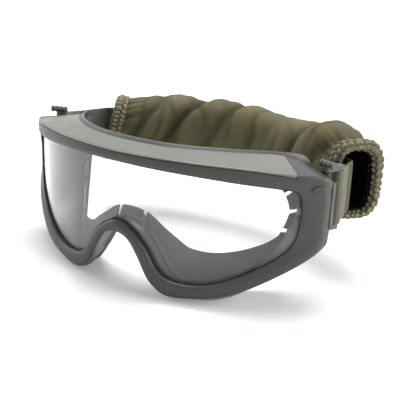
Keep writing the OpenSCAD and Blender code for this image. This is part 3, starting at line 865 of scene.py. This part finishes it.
    def build_frame(self) -> None:
        """The frame's closed surface, its corners rounded as the mould leaves them.

        The lip's corners over the brow and the facet's corners at the temples get a painted
        highlight.
        """
        radii = np.array([0.3, 0.6, 1.1, 3.0, 1.0, 0.8, 1.0, 2.4, 2.4, 0.8, 0.35, 0.3,
                          0.3, 2.0, 3.0, 1.5, 0.3, 0.1, 0.1, 0.1])
        grid = all_round(rounded(self.section(self.parameters()), radii))
        grid[:, :, 2] = np.maximum(grid[:, :, 2], 0.0)
        surface = Surface("frame_body", grid)
        corner = np.arange(grid.shape[1]) // (grid.shape[1] // len(radii))
        # painted highlight: the lip's top corners high on the brow and the facet's corners past
        # the temples are painted paler
        high = np.clip((grid[..., 2] - self.highlight_above) / 8, 0, 1)
        far = np.clip(np.abs(grid[..., 0]) - self.highlight_beyond, 0, 1)
        lip, facet = np.isin(corner, (10, 11)), np.isin(corner, (5, 6))
        surface.mark("painted_highlight", np.maximum(lip * high, 0.5 * facet * far))
        piece = surface.finish(self.finishes.frame, "frame_grey", "front_frame")
        slot = box_corners() * np.array([self.vent_width, self.vent_depth, 7.0])
        carve(piece, [slot + np.array([self.vent_x - self.vent_width / 2, self.vent_y, -1.0])])

    def build_vent(self, side: Side) -> None:
        """The foam plug in a vent slot: a crowned pad a little smaller than the slot.

        Args:
            side: Which slot.
        """
        a = np.linspace(0, TURN, 64, endpoint=False)
        level = np.array([0.0, 0.6, 0.95, 1.0, 1.0, 0.95, 0.6, 0.0])[:, None]
        z = np.array([0.0, 0.0, 0.15, 0.4, 1.3, 1.6, 1.75, 1.8])[:, None]
        x = (self.vent_width / 2 - self.vent_play) * power(np.cos(a), 0.3) * level
        y = (self.vent_depth / 2 - self.vent_play) * power(np.sin(a), 0.3) * level
        grid = xyz(side.value * self.vent_x + x, self.vent_y + self.vent_depth / 2 + y,
                   z + self.vent_lift)
        piece = Surface(f"vent_pad_{side.word}", grid, close_rows=False).finish(
            self.finishes.foam, "foam_black", f"vent_foam_{side.word}")

    def build_cap(self) -> None:
        """The brow cap: the frame's own outer skin over its bed, closed at both ends."""
        t = self.parameters()
        k = self.skin(t[t < self.seam])
        a, b, c, d = self.sunk(k, self.cap_thickness)
        ring = np.stack([k[2] + (k[3] - k[2]) * 0.4, *k[3:7], k[6] + (k[7] - k[6]) * 0.85,
                         d + (k[7] - d) * 0.85, d, c, b, a], axis=1)
        ring += np.array([0.0, -0.03, 0.06])
        radii = np.array([0.1, 0.9, 0.8, 2.4, 2.4, 0.3, 0.1, 0.2, 0.2, 0.2, 0.2])
        half = rounded(ring, radii, 5)
        grid = np.concatenate([half[:0:-1] * np.array([-1.0, 1.0, 1.0]), half])
        ends = grid[[0, -1]]
        near = ends * 0.97 + ends.mean(axis=1, keepdims=True) * 0.03
        grid = closed_tube(np.concatenate([near[:1], grid, near[1:]]))
        Surface("brow_cap_shell", grid, close_rows=False).finish(
            self.finishes.cap, "cap_grey", "brow_cap")


@dataclass
class LensUnit:
    """The clear lens and the gasket round its edge."""

    shell: FrameShell
    play: float = 0.15
    rings: int = 420

    def outline(self, distance: float) -> Array:
        """Whole outline of the opening in the front view, moved out by a distance."""
        return all_round(PLAN.out(PLAN.along(self.rings), Column.OPENING, distance))

    def build_lens(self) -> None:
        """The lens: columns from its lower to its upper edge, front and back face in one.

        Each column's x is the half width times the sine of an even angle, so that columns
        crowd at the ends, where the outline turns.
        """
        q = PLAN.out(PLAN.along(3000), Column.OPENING, self.shell.lens_grip)
        tip = int(np.argmax(q[:, 0]))
        x = q[tip, 0] * np.sin(np.linspace(-1, 1, 241) * math.pi / 2) * 0.9999
        top, bottom = (np.interp(np.abs(x), np.maximum.accumulate(edge[:, 0]), edge[:, 1])
                       for edge in (q[:tip + 1], q[tip:][::-1]))
        s = np.linspace(0, 1, 60)[None, :]
        z = bottom[:, None] * (1 - s) + top[:, None] * s
        flat = np.stack(np.broadcast_arrays(x[:, None], z), axis=-1)
        front, rear = (PLAN.on_shell(flat, depth) for depth in (0.0, self.shell.lens_thickness))
        grid = closed_tube(np.concatenate([front, rear[:, ::-1]], axis=1))
        Surface("lens_pane", grid, close_rows=False).finish(
            self.shell.finishes.lens, "clear_lens", "lens")

    def build_gasket(self) -> None:
        """The gasket: a U section round the edge of the lens."""
        g, t = self.shell.gasket, self.shell.lens_thickness
        near, deep = self.outline(-0.5), self.outline(self.shell.lens_grip + g)
        grip = self.outline(self.shell.lens_grip + self.play)
        ring = np.stack([
            PLAN.on_lens(near, -g), PLAN.on_lens(deep, -g),
            PLAN.on_shell(deep, t + g), PLAN.on_shell(near, t + g),
            PLAN.on_shell(near, t + self.play), PLAN.on_shell(grip, t + self.play),
            PLAN.on_lens(grip, -self.play), PLAN.on_lens(near, -self.play)], axis=1)
        Surface("gasket_ring", rounded(ring, np.full(8, 0.25), 3)).finish(
            self.shell.finishes.gasket, "gasket_black", "lens_gasket")


@dataclass(frozen=True)
class Slit:
    """Where a slit's wedge meets the flange's edge, how it is turned and stretched."""

    x: float
    z: float
    tilt: float
    turn: float = -56.0
    stretch: Triple | None = None


@dataclass
class FaceSeal:
    """The soft flange inside the rear rim, with its slits, and the foam on it."""

    shell: FrameShell
    flange: float = 1.8
    foam: float = 6.0
    foam_least: float = 2.8
    slit_width: float = 1.6
    slit_mouth: float = 2.4
    slit_length: float = 7.0
    slits: tuple[Slit, ...] = (
        Slit(7.5, 37.5, -106.0, 0.0, (1.0, 2.2, 1.35)), Slit(64.5, 50.0, 158.0),
        Slit(66.0, 41.0, 180.0), Slit(65.0, 31.5, -160.0))
    temple_out: float = 0.9
    temple_forward: float = 2.0
    temple_foam: float = 1.6
    temple_from: float = 3.6
    temple_to: float = 10.4
    cheek_to: float = 12.0
    edge: float = 1.0
    rings: int = 420

    def beside(self, t: Array, end: float) -> Array:
        """How much of a ring lies at the side: 0 at the brow and past the end, else 1."""
        return eased(np.minimum(t - self.temple_from, end - t) / 1.4)

    def build_flange(self) -> None:
        """The flange: a skirt along the rim and a lip that reaches in towards the face."""
        t = PLAN.along(self.rings)
        wall, seat, skirt = self.shell.wall, self.shell.seat, self.shell.lip_run + 0.4
        temple = self.beside(t, self.temple_to)
        bend = self.temple_forward * temple
        o = PLAN.out(t, Column.REAR, -wall - seat)
        i = PLAN.out(t, Column.REAR, -wall - self.flange)
        e = PLAN.out(t, Column.EDGE, self.temple_out * temple)
        m = (o + e) / 2
        low = -0.3 - self.flange
        ring = np.stack([PLAN.on_face(o, -skirt), PLAN.on_face(o, -0.4),
                         PLAN.on_face(m, -0.3 - bend / 3), PLAN.on_face(e, -0.3 - bend),
                         PLAN.on_face(e, -0.3 - self.edge - bend),
                         PLAN.on_face(m, low - bend / 3),
                         PLAN.on_face(i, low - 0.3), PLAN.on_face(i, -skirt)], axis=1)
        radii = np.array([0.2, 0.2, 1.0, 0.7, 0.7, 1.5, 1.5, 0.5])
        piece = Surface("eyecup_flange", all_round(rounded(ring, radii))).finish(
            self.shell.finishes.flange, "flange_grey", "face_flange")
        carve(piece, [self.wedge(slit) for slit in self.slits])

    def wedge(self, slit: Slit) -> Array:
        """The wedge that cuts a slit, wider at the flange's edge.

        Args:
            slit: Which slit.

        Returns:
            Its eight corners in mm.
        """
        wedge = box_corners() - np.array([0.0, 0.5, 0.5])
        wedge[:, 2] *= np.where(wedge[:, 0] > 0.5, self.slit_mouth, self.slit_width)
        wedge = wedge * np.array([self.slit_length + 2, 5.4, 1.0])
        wedge[:, 0] -= self.slit_length
        turned = (Matrix.Rotation(math.radians(-slit.turn), 3, "Z")
                  @ Matrix.Rotation(math.radians(slit.tilt), 3, "Y"))
        place = PLAN.on_face(np.array([slit.x, slit.z]), -self.flange / 2)
        if slit.turn:
            place = place + np.array([self.temple_out, -self.temple_forward, 0.0])
        wedge = wedge @ np.array(turned).T + place
        if slit.stretch:
            middle = wedge.mean(axis=0)
            wedge = (wedge - middle) * np.array(slit.stretch) + middle
        return wedge

    def build_foam(self) -> None:
        """The foam: a crowned pad that lies on the flange all round.

        Its height is the power 0.42 of a sine across it, and a little uneven along it.
        """
        t = PLAN.along(self.rings)
        o = PLAN.out(t, Column.REAR, -0.6)
        e = PLAN.out(t, Column.EDGE, 0.0)
        width = np.linalg.norm(e - o, axis=1)
        kept = np.maximum(width - self.slit_length - 0.6, self.foam_least)
        e = o + (e - o) * (kept / width)[:, None]
        u = np.linspace(0, 1, 15)
        crown = np.sin(math.pi * u)**0.42
        uneven = 0.12 * np.sin(t * 5.1)[:, None] * np.sin(math.pi * u)
        across = o[:, None, :] + (e - o)[:, None, :] * u[:, None]
        thinner = (self.temple_foam - self.foam) * self.beside(t, self.cheek_to)
        height = (self.foam - 0.2 + thinner)[:, None]
        top = PLAN.on_face(across, 0.25 + crown * height + uneven)
        base = PLAN.on_face(across, 0.15)[:, -2:0:-1]
        grid = np.concatenate([top, base], axis=1)
        grid[:, :, 2] = np.maximum(grid[:, :, 2], 0.0)
        piece = Surface("face_foam_pad", all_round(grid)).finish(
            self.shell.finishes.foam, "foam_black", "face_foam")


@dataclass
class Webbing:
    """The headband, the sewn loops round the strap bars and the free runs between."""

    finishes: Finishes
    loop: float = 10.0
    bar_radius: float = 1.4
    gap: float = 0.15
    mouth_out: float = 5.0
    bar_x: float = 88.0411
    bar_y: float = 57.5196

    def bar(self, side: Side) -> Array:
        """Plan point of a strap bar."""
        return np.array([side.value * self.bar_x, self.bar_y])

    def mouth(self, side: Side) -> Array:
        """Where the headband leaves a cuff.

        Args:
            side: Which cuff.

        Returns:
            The point in plan.
        """
        degrees = PLAN.arc_right if side is Side.RIGHT else -PLAN.arc_left
        b = math.radians(degrees)
        onwards = np.array([math.cos(b), -math.sin(b)]) * side.value * self.mouth_out
        return PLAN.band_point(degrees) + onwards

    def reach(self, side: Side) -> tuple[Array, float]:
        """Unit direction in plan from a bar to its mouth, and the length between them."""
        away = self.mouth(side) - self.bar(side)
        return away / np.linalg.norm(away), np.linalg.norm(away)

    @staticmethod
    def strip(path: Array, thin: float = 0.0, low: float = 0.1) -> Array:
        """Sweeps a flat section with rounded long edges along a path in plan.

        The section's half thickness falls off near both edges as the square root of
        1 - s^8, where s runs from -1 at the lower edge to 1 at the upper one.

        Args:
            path: Plan points in mm.
            thin: How much thinner than the webbing it is.
            low: How much less high than the webbing is wide.

        Returns:
            A grid with one closed section per path point, and closed ends.
        """
        tangent = np.gradient(path, axis=0)
        tangent /= np.linalg.norm(tangent, axis=1, keepdims=True)
        normal = np.stack([tangent[:, 1], -tangent[:, 0]], axis=1)
        s = np.sin(np.linspace(-1, 1, 40) * math.pi / 2)
        half = (PLAN.strap_thickness - thin) / 2 * np.sqrt(1 - s**8)
        offset = np.concatenate([half, -half[-2:0:-1]])
        z = PLAN.strap_middle \
            + (PLAN.strap_width - low) / 2 * np.concatenate([s, s[-2:0:-1]])
        plan = path[:, None, :] + normal[:, None, :] * offset[:, None]
        grid = closed_tube(xyz(plan[..., 0], plan[..., 1], z))
        grid[[0, -1], :, 2] = z
        return grid

    def build_headband(self) -> None:
        """The long stretch of webbing that lies in the sleeve."""
        arc = PLAN.band_point(np.linspace(PLAN.arc_right, -PLAN.arc_left, 90))
        path = np.concatenate([[self.mouth(Side.RIGHT)], arc, [self.mouth(Side.LEFT)]])
        # painted shade: the headband gets the darker copy of the loops' webbing
        Surface("headband_webbing", self.strip(path), close_rows=False).finish(
            self.finishes.band, "webbing_tan", "headband")

    def build_loop(self, side: Side) -> None:
        """Webbing folded round the bar and sewn onto itself.

        Its middle line leaves the seam, goes round the bar on a circle of the bar's radius
        plus half the webbing, and comes back to the seam.

        Args:
            side: Which side.
        """
        along, _ = self.reach(side)
        across = np.array([-along[1], along[0]])
        t = PLAN.strap_thickness
        r = self.bar_radius + self.gap + t / 2
        lean = math.asin((t / 2) / r)
        angle = np.linspace(lean + 0.35, TURN - lean - 0.35, 40)
        round_bar = r * np.stack([np.cos(angle), np.sin(angle)], axis=1)
        run = np.linspace(self.loop, round_bar[0, 0] + 2.2, 14)
        upper, lower = (np.stack([x, np.full_like(x, y)], axis=1)
                        for x, y in ((run, t / 2), (run[::-1], -t / 2)))
        flat = np.concatenate([upper, round_bar, lower])
        path = self.bar(side) + flat[:, [0]] * along + flat[:, [1]] * across
        piece = Surface(f"loop_webbing_{side.word}", self.strip(path, 0.04), close_rows=False)
        self.bend(piece.finish(self.finishes.webbing, "webbing_tan",
                               f"strap_loop_{side.word}", body=None), side)

    def bend(self, piece: Object, side: Side) -> None:
        """Bakes a piece's placement into its mesh.

        Args:
            piece: The piece.
            side: Which side it is on; not used.
        """
        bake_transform(piece)

    def build_run(self, side: Side) -> None:
        """The free stretch between the sewn loop and the mouth of the sleeve.

        Its faces that look at the head get the grip's finish.

        Args:
            side: Which side.
        """
        along, length = self.reach(side)
        s = np.linspace(self.loop - 0.5, length - 0.1, 30)[:, None]
        grid = self.strip(self.bar(side) + s * along, 0.1, 0.2)
        # painted shade: the run gets the darker copy of the loops' webbing
        piece = Surface(f"run_webbing_{side.word}", grid, close_rows=False).finish(
            self.finishes.band, "webbing_tan", f"strap_run_{side.word}", body=None)
        piece.data.materials.append(self.finishes.grip)
        faces = piece.data.polygons
        facing = np.empty(3 * len(faces))
        faces.foreach_get("normal", facing)
        inwards = facing.reshape(-1, 3)[:, 0] * side.value < -0.3
        faces.foreach_set("material_index", inwards.astype(np.int32))
        self.bend(piece, side)


@dataclass
class Sleeve:
    """The cloth sleeve over the headband, with its gathered cuffs and their elastic."""

    finishes: Finishes
    length: float = 175.0
    half_height: float = 19.8
    half_width: float = 12.4
    raised: float = 2.2
    raised_at: float = 0.15
    raised_over: float = 0.08
    drawn_in: float = 4.0
    drawn_at: float = 0.28
    drawn_over: float = 0.15
    cuff_half_height: float = 18.4
    left_half_height: float = 17.6
    cuff_raise: float = 0.8
    cuff_half_width: float = 12.0
    hem_radius: float = 2.6
    hem_half_length: float = 4.2
    hem_columns: int = 816
    cloth_thickness: float = 0.8
    ruffles: int = 30
    left_ruffles: int = 40
    elastic: float = 0.7
    elastic_half_width: float = 1.6

    def height_at(self, u: Array) -> tuple[Array, Array]:
        """How high the sleeve is between its folds.

        Args:
            u: Place along the sleeve.

        Returns:
            Its half height, and how far it is raised.
        """
        cuff = self.cuff_half_height + (self.left_half_height - self.cuff_half_height) * u
        up = self.cuff_raise * np.clip(1 - 4 * u, 0, 1) \
            + self.raised * hill(u, self.raised_at, self.raised_over)
        return cuff + (self.half_height - cuff) * np.sin(math.pi * u)**0.5, up

    def folds(self, u: Array, a: Array) -> tuple[Array, Array]:
        """How far the cloth bulges out: leaning main folds, gathers and small creases.

        A fold is a raised cosine of its phase, which runs faster through the crease than
        over the top. The phase grows with u, the place along the sleeve, and leans with
        the sine of a, the place round it. The gathers are sines of a that fade with
        distance from each cuff.

        Args:
            u: Place along the sleeve.
            a: Angle round it, radians.

        Returns:
            Distance outwards in mm, and painted shade: 0 deep in the creases to 1 on
            a fold.
        """
        lean = power(np.sin(a), 0.7)
        wander = 0.5 * np.sin(TURN * 1.7 * u + 2.0 * np.cos(a)) + 0.3 * np.sin(TURN * 3.3 * u + 1)

        def fold(phase: Array) -> Array:
            """A row of folds with narrow creases, one side steeper than the other."""
            return 0.5 - 0.5 * np.cos(phase + 0.6 * np.sin(phase) + 0.35 * np.cos(phase))

        def weight(along: float, leaning: float, start: float) -> Array:
            """How strong a row of folds is from place to place, from 0 to 1."""
            return 0.5 + 0.5 * np.sin(TURN * along * u + leaning * lean + start)

        main = fold(TURN * (6.1 * u + 0.55 * lean) + 1.2 + wander)
        second = fold(TURN * (10.3 * u + 0.8 * lean) + 2.0 * np.sin(2 * a + 1) + wander)
        cross = fold(TURN * (7.7 * u - 0.35 * lean) + 1.5 * np.sin(3 * a))
        w1 = 0.24 + 0.76 * weight(1.4, 1.1, 0.6)
        w2, w3 = weight(2.3, -1.7, 2.2), weight(1.9, 2.1, 4.0)
        small = 0.1 * np.sin(TURN * (23.1 * u - 1.4 * lean) + 3.1 * np.sin(3 * a + 1))
        near = np.minimum(u, 1 - u) * self.length
        full, close, far = 1 - np.exp(-near / 13.0), np.exp(-near / 8.0), np.exp(-near / 18.0)
        fan = np.sin(23 * a + 2.5 * np.sin(2 * a + 5 * u) + 0.1 * near)
        wide = np.sin(10 * a + 2 * np.sin(a) + 0.12 * near + 1.0)
        out = full * (3.1 * w1 * main + 1.2 * w2 * second + 0.8 * w3 * cross + small) \
            + 1.3 * hill(near, 24.0, 13.0) + 0.75 * power(fan, 0.8) * close + 0.6 * wide * far
        # painted shade: dark in the creases of each row of folds, between the gathers near the
        # cuffs and between the wide gathers
        lit_folds = full * ((1 - w1 * (1 - main)**1.2) * (1 - 0.6 * w2 * (1 - second)**1.5)
                        * (1 - 0.5 * w3 * (1 - cross)**1.5)) + (1 - full) * 0.8
        gathered = (0.5 + 0.5 * fan) * close + (1 - close)
        return out, lit_folds * (0.25 + 0.75 * gathered) * (1 - 0.35 * far * (0.5 - 0.5 * wide))

    def build_sleeve(self) -> None:
        """The sleeve as one tube of cloth with its thickness, its inside near-black: painted
        shade.

        It is an oval section, drawn in at both cuffs, that bulges by its folds.
        """
        end = math.degrees((self.hem_half_length - 0.6) / PLAN.arc_radius) \
            / (PLAN.arc_right + PLAN.arc_left)
        u = np.linspace(end, 1 - end, 300)[:, None]
        a = np.linspace(0, TURN, 160, endpoint=False)
        c, s = np.cos(a), np.sin(a)
        width = self.cuff_half_width \
            + (self.half_width - self.cuff_half_width) * np.sin(math.pi * u)**0.5
        height, up = self.height_at(u)
        height = height - self.drawn_in * hill(u, self.drawn_at, self.drawn_over) * (s < 0)
        out, fold = self.folds(u, a)
        grid = PLAN.cloth(u, width * power(c, 0.7) + out * c,
                          up + height * power(s, 0.7) + out * s)
        surface = Surface("sleeve_cloth", grid, close_rows=False)
        # painted shade of the folds, dark in the creases
        surface.mark("fold", fold)
        piece = surface.finish(self.finishes.cloth, "cloth_olive", "sleeve")
        # painted shade: the inner face of the cloth gets the near-black material
        piece.data.materials.append(self.finishes.inner_shade)
        thick = piece.modifiers.new("cloth", "SOLIDIFY")
        thick.thickness, thick.offset = self.cloth_thickness / 1000, -1.0
        thick.material_offset = 1

    def even_angles(self) -> tuple[Array, Array]:
        """Spaces the hem's columns evenly along the mouth's oval.

        Returns:
            Their angles, and the even turn they stand for, in radians.
        """
        a = np.linspace(0, TURN, 4001)
        path = np.stack([self.cuff_half_width * power(np.cos(a), 0.6),
                         self.cuff_half_height * power(np.sin(a), 0.6)], axis=1)
        run = np.concatenate([[0], np.cumsum(np.linalg.norm(np.diff(path, axis=0), axis=1))])
        turn = np.linspace(0, 1, self.hem_columns, endpoint=False)[:, None]
        return np.interp(turn * run[-1], run, a), turn * TURN

    def oval(self, side: Side, a: Array, out: Array, on: Array) -> Array:
        """Points of a ring round a cuff's mouth.

        Args:
            side: Which cuff.
            a: Angle round the mouth, radians.
            out: Distance outwards from the middle of the hem.
            on: Distance along the sleeve.

        Returns:
            Points with x, y, z on the last axis.
        """
        u = np.full_like(out, 0.0 if side is Side.RIGHT else 1.0)
        height, up = self.height_at(u)
        return PLAN.cloth(u, (self.cuff_half_width + out) * power(np.cos(a), 0.6),
                          up + (height + out) * power(np.sin(a), 0.6), on)

    @staticmethod
    def under(a: Array) -> Array:
        """How thick a hem is round the mouth: 1 above, less below."""
        return 1 - 0.22 * np.clip(-np.sin(a), 0, 1)

    def build_cuff(self, side: Side) -> None:
        """One cuff: a round section carried round the mouth, smocked into six rows.

        A puff's height is |sin| of many turns round the mouth times |sin| of three turns
        round the section, both to a power below 1. Every other row is shifted half a puff,
        and the stitched lines between them are drawn in.

        Args:
            side: Which cuff.
        """
        a, turn = self.even_angles()
        b = np.linspace(0, TURN, 60, endpoint=False)
        rows = 3 * b + 0.4
        row = 0.8 * np.tanh(7 * np.sin(rows)) + 0.5 * np.cos(rows)
        uneven = 0.5 * np.sin(5 * turn + side.value) + 0.35 * np.sin(9 * turn + 2) \
            + 0.3 * np.sin(3 * turn) * row + 0.2 * np.sin(17 * turn + 2 * row)
        count = self.ruffles if side is Side.RIGHT else self.left_ruffles
        phase = count / 2 * turn + uneven + row * math.pi / 4
        puff = np.abs(np.sin(phase))**0.6 * (0.12 + 0.88 * np.abs(np.sin(rows))**0.6)
        size = self.hem_radius * (self.under(a) + 0.2 * np.clip(np.cos(a), 0, 1)) \
            * (0.6 + 0.55 * puff + 0.05 * np.sin(7 * a + row))
        on = power(np.sin(b), 0.9)
        sway = 0.35 * np.sin(phase * 2 + 1.0) * on
        grid = self.oval(side, a, power(np.cos(b), 0.7) * size,
                         on * self.hem_half_length * (0.86 + 0.14 * puff) + sway)
        surface = Surface(f"cuff_hem_{side.word}", grid)
        # painted shade between the cuff's puffs, and full colour on their tops
        surface.mark("fold", 1.15 * puff + 0.05)
        surface.finish(self.finishes.hem, "cloth_olive", f"cuff_{side.word}")

    def build_elastic(self, side: Side) -> None:
        """The flat elastic that lines a hem.

        Args:
            side: Which cuff.
        """
        a = np.linspace(0, TURN, 240, endpoint=False)[:, None]
        out = -self.hem_radius * self.under(a) - 0.05 - self.elastic * np.array([0, 0, 1, 1])
        ring = self.oval(side, a, out, self.elastic_half_width * np.array([-1, 1, 1, -1]))
        Surface(f"cuff_band_{side.word}", rounded(ring, np.full(4, 0.2), 3)).finish(
            self.finishes.elastic, "elastic_black", f"cuff_elastic_{side.word}")


@dataclass
class Hardware:
    """Mounts, rivets, pins, clips and sliders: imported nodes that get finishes."""

    finishes: Finishes
    plastic: tuple[str, ...] = ("strap_clip", "hinge_pin", "band_slider")
    body_coloured: tuple[str, ...] = ("hinge_mount", "mount_rivet")

    def dress(self) -> None:
        """Gives every node of the hardware its material."""
        for names, material in ((self.plastic, self.finishes.hardware),
                                (self.body_coloured, self.finishes.frame)):
            for node in (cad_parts[f"{name}_{s.word}"] for name in names for s in Side):
                node.data.materials.clear()
                node.data.materials.append(material)


@dataclass
class Studio:
    """Camera at the photograph's angle, a pale floor and soft light from above."""

    azimuth: float = 0.573939
    elevation: float = 0.339440
    roll: float = 0.0385819
    distance: float = 400.0
    focal: float = 773.13
    picture: float = 400.0
    sensor: float = 36.0
    shift_x: float = -23.090
    shift_y: float = 2.395
    aim: Triple = (0.0, 30.0, 40.0)
    floor_half: float = 6.0
    glow: float = 0.22
    glow_from: float = 0.4
    glow_to: float = 1.3

    def camera(self) -> None:
        """Sets the camera: back is the way from the aim to it, rolled about that line."""
        sa, ca = math.sin(self.azimuth), math.cos(self.azimuth)
        se, ce = math.sin(self.elevation), math.cos(self.elevation)
        back = np.array([sa * ce, -ca * ce, se])
        level = np.array([ca, sa, 0.0])
        plumb = np.cross(back, level)
        c, s = math.cos(self.roll), math.sin(self.roll)
        right, up = c * level + s * plumb, -s * level + c * plumb
        spot = PLAN.to_row(np.array(self.aim) + self.distance * back - self.shift_x * right
                           - self.shift_y * up)
        data = bpy.data.cameras.new("camera")
        data.sensor_width, data.lens = self.sensor, self.focal / self.picture * self.sensor
        data.clip_start, data.clip_end = 0.01, 20.0
        camera = put("camera", data)
        turn = Matrix((right, up, back)).transposed().to_4x4()
        camera.matrix_world = Matrix.Translation(Vector(spot)) @ turn
        bpy.context.scene.camera = camera

    def lamp(self, name: str, place: Triple, size: float, watts: float) -> None:
        """A square soft lamp that looks at the goggles.

        Args:
            name: Its name.
            place: Where it hangs, metres.
            size: Its side, metres.
            watts: Its power.
        """
        data = bpy.data.lights.new(name, "AREA")
        data.size, data.energy = size, watts
        lamp = put(name, data)
        lamp.location = place
        towards = Vector((0.0, 0.0, 0.03)) - Vector(place)
        lamp.rotation_euler = towards.to_track_quat("-Z", "Y").to_euler()

    def light(self) -> None:
        """Hangs the lamps and sets the world: even grey light, white where it is seen."""
        self.lamp("overhead", (-0.08, 0.25, 1.1), 0.7, 12.5)
        self.lamp("window_left", (-1.0, -0.2, 0.6), 0.8, 3.5)
        self.lamp("window_right", (1.25, 0.42, 0.5), 0.9, 12.0)
        world = bpy.data.worlds.new("studio")
        bpy.context.scene.world = world
        world.use_nodes = True
        sky = Nodes(world.node_tree)
        sky.tree.nodes.clear()
        even, white = (sky.add("ShaderNodeBackground", *look).outputs[0] for look
                       in (((0.93, 0.96, 1.0, 1.0), 0.3), ((1.0, 1.0, 1.0, 1.0), 1.0)))
        mix = sky.add("ShaderNodeMixShader", sky.seen(), even, white)
        sky.add("ShaderNodeOutputWorld", mix.outputs[0])

    def floor(self) -> None:
        """A white floor that glows for the eye, more so far off, where no lamp reaches it."""
        mesh = bpy.data.meshes.new("floor")
        r = self.floor_half
        mesh.from_pydata([(-r, -r, 0), (r, -r, 0), (r, r, 0), (-r, r, 0)], [], [(0, 1, 2, 3)])
        floor = put("floor", mesh)
        f = Finish("floor_paper", (0.92, 0.92, 0.92), 0.9)
        f.coat(Specular_IOR_Level=0.0)
        away = f.add("ShaderNodeVectorMath", f.place.outputs["Object"])
        away.operation = "LENGTH"
        level = f.spread(away.outputs["Value"], self.glow, 1.0, self.glow_from, self.glow_to)
        glow = f.add("ShaderNodeEmission", (1.0, 1.0, 1.0, 1.0),
                     f.maths("MULTIPLY", f.seen(), level))
        f.show(f.add("ShaderNodeAddShader", f.shader.outputs["BSDF"], glow.outputs[0]))
        mesh.materials.append(f.material)


def write_sizes() -> None:
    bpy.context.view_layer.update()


def main() -> None:
    """Builds the goggles from the frame outwards."""
    logging.basicConfig(level=logging.INFO, format="%(message)s")
    bpy.context.scene.view_settings.view_transform = "Standard"
    studio = Studio()
    studio.camera()
    finishes = Finishes()
    shell = FrameShell(finishes)
    shell.build_frame()
    shell.build_cap()
    lens = LensUnit(shell)
    lens.build_lens()
    lens.build_gasket()
    seal = FaceSeal(shell)
    seal.build_flange()
    seal.build_foam()
    webbing = Webbing(finishes)
    webbing.build_headband()
    sleeve = Sleeve(finishes)
    sleeve.build_sleeve()
    for side in Side:
        shell.build_vent(side)
        webbing.build_loop(side)
        webbing.build_run(side)
        sleeve.build_cuff(side)
        sleeve.build_elastic(side)
    Hardware(finishes).dress()
    studio.floor()
    studio.light()
    write_sizes()


if __name__ == "__main__":
    main()
